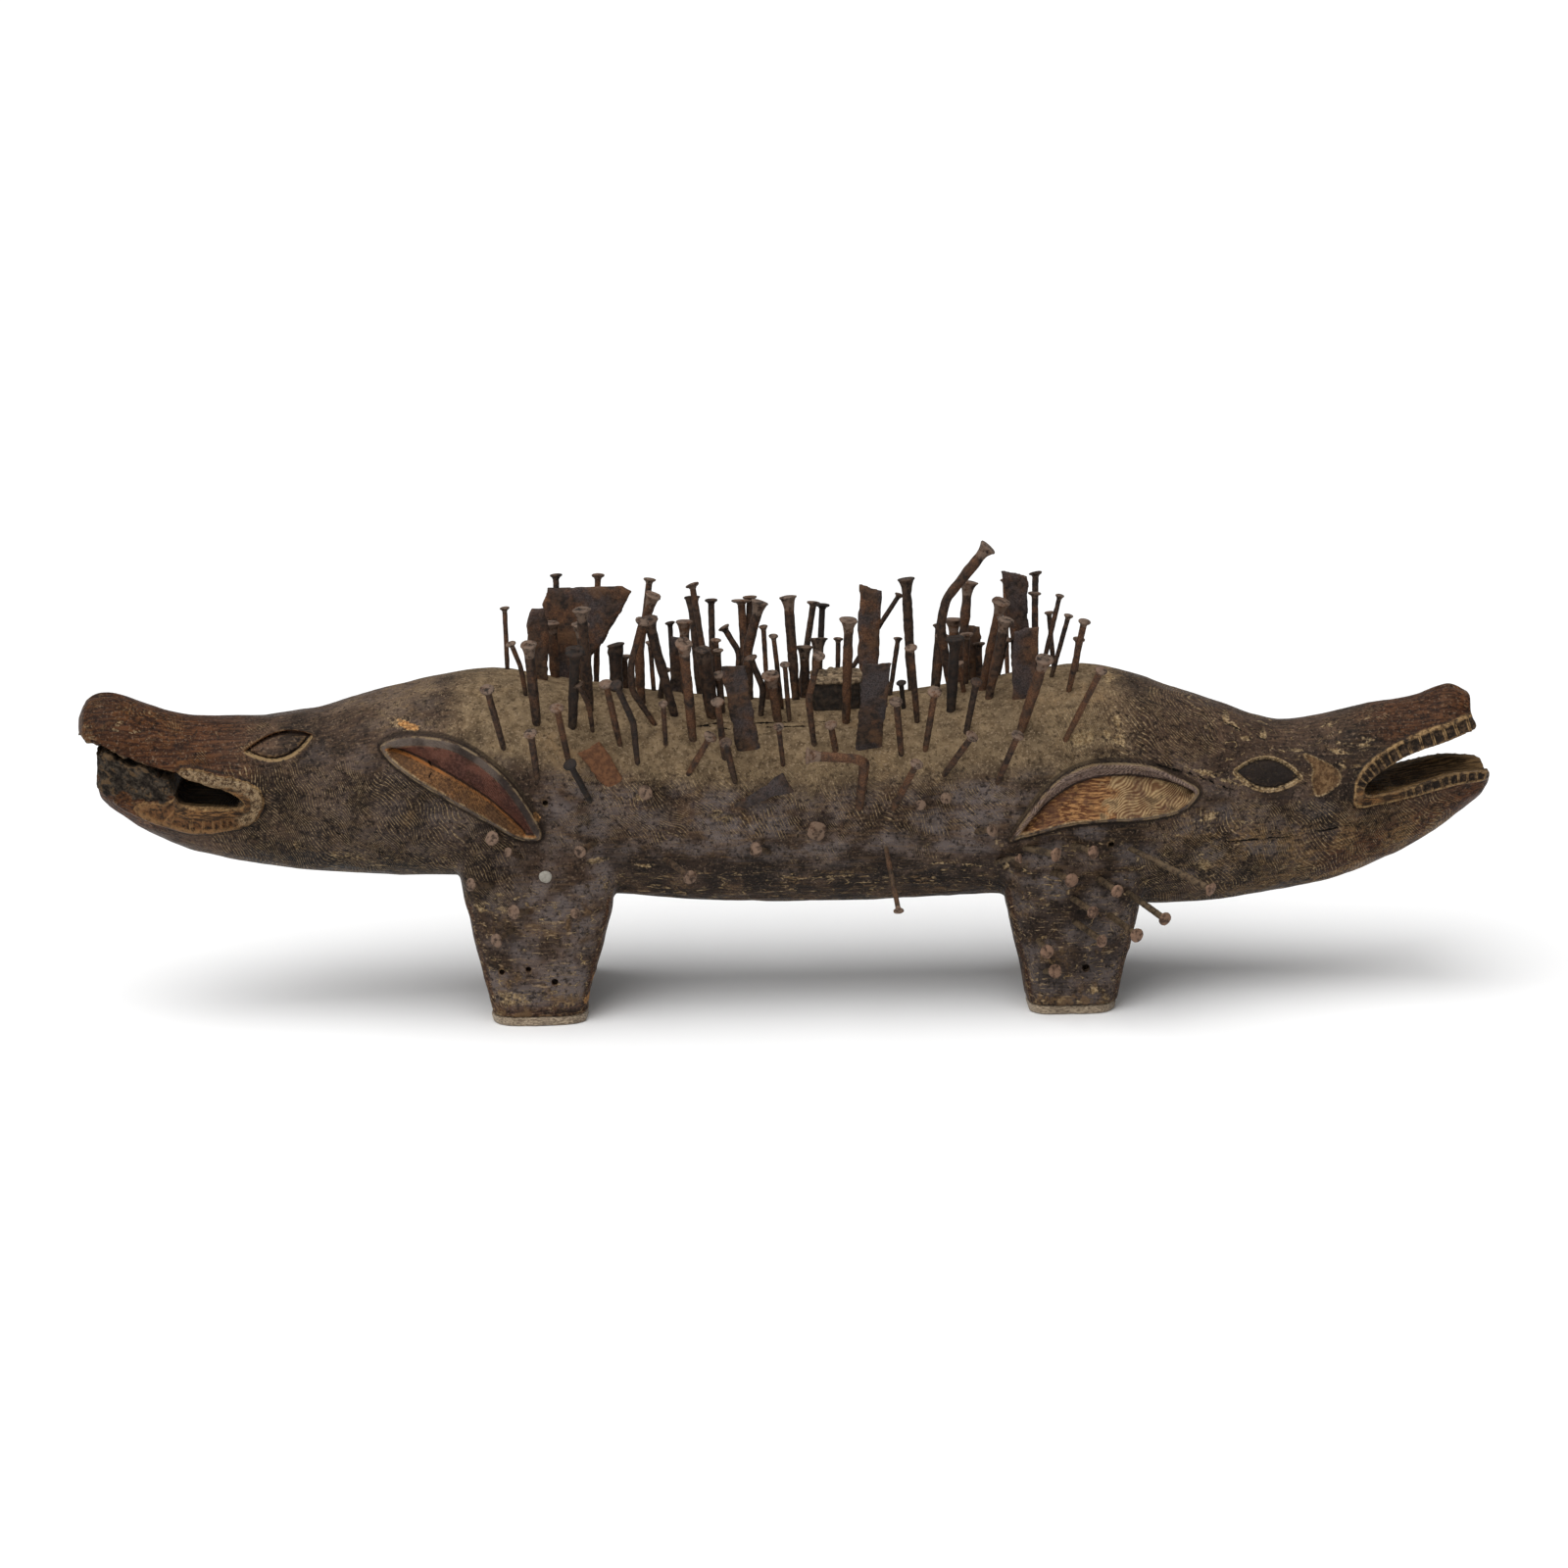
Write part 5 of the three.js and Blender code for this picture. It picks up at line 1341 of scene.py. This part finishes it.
def root_on_back(surface, along, turn):
    height = smooth_at(TRUNK, np.array([float(along)]))[0][0] * UNIT
    turn = math.radians(turn)
    out = np.array((0, -math.sin(turn), math.cos(turn)))
    return hit(surface, np.array((along * UNIT, 0, height)) + out * OUTSIDE, -out)


def root_on_side(surface, along, height, side):
    return hit(surface, (along * UNIT, side * OUTSIDE, height * UNIT), (0, -side, 0))


def nail_path(root, tilt, lean, shows, bends=()):
    """Points every 2 mm along the middle of the shank, from its point to its head."""
    way = pointing(tilt, lean)
    places = [root - NAIL_DRIVEN * way, root]
    done = 0
    for share, next_lean in (*bends, (1, lean)):
        places.append(places[-1] + (share - done) * shows * way)
        way = pointing(tilt, next_lean)
        done = share
    places = np.array(places)
    run = np.concatenate([[0], np.cumsum(np.linalg.norm(np.diff(places, axis=0), axis=1))])
    even = np.linspace(0, run[-1], max(int(run[-1] / 2), 4) + 1)
    path = np.stack([np.interp(even, run, places[:, axis]) for axis in range(3)], axis=1)
    for _ in range(3):
        path[1:-1] = (path[:-2] + 2 * path[1:-1] + path[2:]) / 4
    return path


def sweep(path, radii, squareness, twist):
    """Rings round a path; a squareness of 2 is round."""
    tangents = np.gradient(path, axis=0)
    tangents /= np.linalg.norm(tangents, axis=1)[:, None]
    side = np.cross(tangents[0], (0.3, 1, 0.1))
    turn = np.arange(NAIL_SIDES) / NAIL_SIDES * 2 * math.pi
    flat = (np.abs(np.cos(turn)) ** squareness + np.abs(np.sin(turn)) ** squareness) ** (-1 / squareness)
    rings = []
    for i, (place, way) in enumerate(zip(path, tangents)):
        side = side - way * (side @ way)
        side /= np.linalg.norm(side)
        other = np.cross(way, side)
        angle = turn + twist * i / len(path)
        reach = radii[i] * flat
        rings.append(place + np.outer(np.cos(angle) * reach, side) + np.outer(np.sin(angle) * reach, other))
    return np.array(rings)


def skin(rings):
    """A closed skin over rings, as points and triangles."""
    count, sides = rings.shape[:2]
    j = np.arange(sides)
    k = (j + 1) % sides
    faces = []
    for i in range(0, (count - 1) * sides, sides):
        faces.append(np.stack([i + j, i + k, i + k + sides], axis=1))
        faces.append(np.stack([i + j, i + k + sides, i + j + sides], axis=1))
    points = np.vstack([rings.reshape(-1, 3), rings[0].mean(axis=0), rings[-1].mean(axis=0)])
    low, last = count * sides, (count - 1) * sides
    faces.append(np.stack([np.full(sides, low), k, j], axis=1))
    faces.append(np.stack([np.full(sides, low + 1), last + j, last + k], axis=1))
    return points, np.vstack(faces)


def head_profile(forged, neck, rim, cap):
    """Heights from the end of the nail and radii, from its neck to the middle of its head."""
    if forged:
        return [(-8, 1.02 * neck), (-5, 1.15 * neck), (-2.8, neck + 0.45 * (rim - neck)), (-1.2, 0.86 * rim),
                (-0.4, rim), (0.2, 0.97 * rim), (0.6, 0.7 * rim), (0.5, 0.3 * rim)]
    return [(-cap - 1.6, neck), (-cap - 0.4, 1.25 * neck), (-cap, 0.8 * rim), (-0.7 * cap, 0.97 * rim),
            (-0.25 * cap, rim), (0, 0.88 * rim), (0.35, 0.55 * rim), (0.45, 0.2 * rim)]


def battered(head, middles, way, forged, chance, seed):
    """The rings of a head tilted a little and beaten out of round."""
    tilted = np.cross(way, chance.normal(size=3)) * chance.uniform(0.05, 0.16 if forged else 0.1)
    lift = ((head - middles) @ tilted)[..., None] * way
    uneven = 0.14 * noise(head + seed, 4.5, seed + 3)[..., None]
    weight = np.linspace(0, 1, len(head))[:, None, None] ** 0.5
    return middles + (head - middles) * (1 + uneven * weight) + lift * weight


def nail(number, kind, root, row, tone=None):
    """A nail with a hammered or drawn shank and an uneven head."""
    shank, head, cap = NAIL_KINDS[kind]
    tilt = row[2]
    chance = np.random.default_rng(number)
    forged = kind in ("heavy", "spike")
    path = nail_path(root, *row[2:])
    radii = shank / 2 * (0.74 + 0.26 * step(0, 0.5, np.linspace(0, 1, len(path))))
    radii *= 1 + (0.10 if forged else 0.05) * noise(path, 7.0, number)
    end, way = path[-1], path[-1] - path[-3]
    way /= np.linalg.norm(way)
    profile = head_profile(forged, shank / 2, head / 2 * chance.uniform(0.9, 1.1), cap)
    keep = np.linalg.norm(path - end, axis=1) > -profile[0][0] + 0.5
    keep[0] = True
    rows = len(profile)
    places = np.vstack([path[keep]] + [end + way * up for up, _ in profile])
    radii = np.concatenate([radii[keep], [radius for _, radius in profile]])
    rings = sweep(places, radii, 2.9 if forged else 2.0, chance.uniform(-1.5, 1.5))
    rings[-rows:] = battered(rings[-rows:], places[-rows:, None, :], way, forged, chance, number)

    points, faces = skin(rings)
    out = points - np.vstack([np.repeat(places, NAIL_SIDES, axis=0), places[0], places[-1]])
    out /= np.maximum(np.linalg.norm(out, axis=1), 1e-6)[:, None]
    crust = rough(points, 2.6, number + 7) * (0.22 if forged else 0.14)
    crust[-2:] = 0
    points = points + out * crust[:, None]
    thing = new_mesh(f"nail_{number:02d}", (points + ORIGIN) * MM, faces)
    at_head = np.zeros(len(points))
    at_head[-rows * NAIL_SIDES - 2:-2] = 1
    at_head[-1] = 1
    mark(thing, "head", at_head)
    mark(thing, "tone", np.full(len(points), chance.uniform(0.12, 1) if tone is None else tone))
    mark(thing, "side", np.full(len(points), float(abs(tilt) > 55) * (1.0 if row[0] > 14 else 0.4)))
    mark(thing, "low", 1 - step(0, 16, np.linalg.norm(points - root, axis=1)))
    return thing


def blade(name, placing, thickness, root_breadth, face, outline, root, seed):
    """A thin iron plate with eaten edges and a slight warp."""
    spacing = 0.85
    way = pointing(*placing[2:])
    out = np.array((math.sin(math.radians(face)), -math.cos(math.radians(face)), 0))
    out = out - way * (out @ way)
    out /= np.linalg.norm(out)
    half = root_breadth / 2
    ends = (0.7 * half, -BLADE_DRIVEN), (half, 0), (-half, 0), (-0.7 * half, -BLADE_DRIVEN)
    shape = np.array([*ends[:2], *outline, *ends[2:]], float)
    reach = thickness / 2 + 4
    grid = grid_in((*shape.min(axis=0) - 3, -reach), (*shape.max(axis=0) + 3, reach), spacing)
    flat = grid[:, :, 0] * (1, 1, 0)
    edge = -inside_of(flat[..., 0], flat[..., 1], shape) + 0.7 * rough(flat, 7, seed)
    warp = noise(flat, 30, seed + 5)
    thin = thickness / 2 * (0.55 + 0.45 * step(0, 3, -edge)) + 0.18 * rough(flat, 5, seed + 9)
    plate = np.abs(grid[..., 2] - warp[..., None]) - thin[..., None]
    thing = mesh_field(f"blade_{name}", both(plate, edge[..., None], 0.6), grid[0, 0, 0], spacing)
    thin_out(thing, BLADE_TRIANGLES)
    local = vertices_of(thing) / MM
    put_at(thing, root + local[:, :1] * np.cross(way, out) + local[:, 1:2] * way + local[:, 2:] * out)
    nought = np.zeros(len(local))
    mark(thing, "tone", nought + (1.4 if name == "flank_flake" else 0.25 + 0.5 * (seed % 3) / 2))
    mark(thing, "low", 1 - step(0, 22, local[:, 1]))
    mark(thing, "head", nought)
    mark(thing, "side", nought)
    return thing


def felt_pad(name, rows, side, seed):
    """A felt pad with a fuzzy edge, a little smaller than the sole above it."""
    spacing = 0.9
    along, reach, outer, inner = (v[0] * UNIT for v in smooth_at(rows, np.array([0.0])))
    middle, half, reach = side * (outer + inner) / 2, (outer - inner) / 2 - PAD_INSET, reach - PAD_INSET
    top, bottom = -SOLE_GAP, -START.z / MM
    grid = grid_in((along - reach - 4, middle - half - 4, bottom - 3),
                   (along + reach + 4, middle + half + 4, top + 3), spacing)
    edge = radial(grid[..., 0] - along, grid[..., 1] - middle, reach, half, LEG_ROUNDNESS)
    edge = edge + 0.8 * rough(grid, 9, seed)
    slab = np.abs(grid[..., 2] - (top + bottom) / 2) - (top - bottom) / 2
    thing = mesh_field(f"pad_{name}", both(edge, slab, 1.6), grid[0, 0, 0], spacing)
    thin_out(thing, PAD_TRIANGLES)
    points, out = vertices_of(thing) / MM, normals_of(thing)
    points += out * (0.22 * rough(points, 2.2, seed + 4) * step(0.5, 0.1, np.abs(out[:, 2])))[:, None]
    points[:, 2] = np.maximum(points[:, 2], bottom)
    put_at(thing, points)
    return thing


def medicine_pack(name):
    """A dark box-like lump whose upper part is a crumbling crust."""
    spacing = 0.75
    height, tall, _ = (v[0] * UNIT for v in smooth_at(TRUNK, np.array([PACK_PLACE])))
    long, wide, high = PACK
    grid = grid_in((-long / 2 - 4, -wide / 2 - 4, -3), (long / 2 + 4, wide / 2 + 4, high + 5), spacing)
    x, y, z = np.moveaxis(grid, -1, 0)
    lumps = rough(grid, 7, PACK_SEED)
    crust = step(-0.7, 0.7, z - PACK_CRUST + 0.8 * lumps)
    inset = 1.2 * (1 - crust)
    sides = both(np.abs(x) - long / 2 + inset + crust * 0.5 * lumps,
                 np.abs(y) - wide / 2 + inset + crust * 0.5 * lumps, 2.5)
    top = z - high + 0.8 + 1.2 * lumps + 0.0025 * (x ** 2 + y ** 2)
    thing = mesh_field(name, most(both(sides, top, 2.0), -z), grid[0, 0, 0], spacing)
    points, out = vertices_of(thing) / MM, normals_of(thing)
    above = points[:, 2] - PACK_CRUST + 0.8 * rough(points, 7, PACK_SEED)
    crumbs = rough(points, 3.2, PACK_SEED + 2)
    mark(thing, "crust", step(-0.6, 0.6, above))
    crumbs = crumbs * (0.3 + 0.5 * step(-0.7, 0.7, above)) * step(0.4, 1.4, points[:, 2])
    points = points + out * crumbs[:, None]
    # Marks where the surface was pushed in, for painted shade there.
    mark(thing, "pit_shade", step(0.1, -0.6, rough(points, 3.2, PACK_SEED + 2)))
    put_at(thing, points + (PACK_PLACE * UNIT, 0, height + tall - PACK_SUNK + SOLE_GAP))
    thin_out(thing, PACK_TRIANGLES)
    return thing


def place_piece(thing, material, slot, *nodes):
    thing.data.materials.clear()
    thing.data.materials.append(material)
    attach(thing, "root")
    if nodes:
        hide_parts(*nodes)


def carve():
    """The wood, and its surface for rays."""
    field, corner = wood_field(WOOD_GRAIN)
    wood = mesh_field("carved_figure", field, corner + ORIGIN, WOOD_GRAIN)
    thin_out(wood, WOOD_TRIANGLES)
    wear(wood)
    place_piece(wood, wood_material(), "carved_wood", "carved_wood_figure")
    bpy.context.view_layer.update()
    return BVHTree.FromObject(wood, bpy.context.evaluated_depsgraph_get())


def rows_of(table):
    return [(kind, row) for kind, rows in table.items() for row in rows]


def drive_nails(surface):
    """All nails, numbered table by table; those of the first table stand for the solid ones."""
    look, number = iron_material("nail_iron"), 0
    for side, table in ((0, SOLID_NAILS), (0, OTHER_NAILS), (-1, SIDE_NAILS), (1, FAR_NAILS)):
        for kind, row in rows_of(table):
            number += 1
            if side:
                root, tone = root_on_side(surface, *row[:2], side), SIDE_TONES.get(row[:2], SIDE_TONE)
                row = (*row[:2], -side * row[2], *row[3:])
            else:
                root, tone = root_on_back(surface, *row[:2]), None
            nodes = [f"iron_nail_{number:02d}"] if table is SOLID_NAILS else []
            place_piece(nail(number, kind, root, row, tone), look, "nail_iron", *nodes)


def drive_blades(surface):
    look = iron_material("blade_iron", plate=True)
    for seed, (name, row) in enumerate((BLADES | OTHER_BLADES).items(), FIRST_BLADE_SEED):
        root = root_on_back(surface, *row[0][:2])
        nodes = [f"iron_blade_{name}"] if name in BLADES else []
        place_piece(blade(name, *row, root, seed), look, "blade_iron", *nodes)


camera()
studio()
floor()
surface = carve()
drive_nails(surface)
drive_blades(surface)
felt = felt_material()
for seed, (name, rows, side) in enumerate(PADS, FIRST_PAD_SEED):
    place_piece(felt_pad(name, rows, side, seed), felt, "felt", f"felt_pad_{name}")
place_piece(medicine_pack("pack"), pack_material(), "medicine_clay", "medicine_pack")
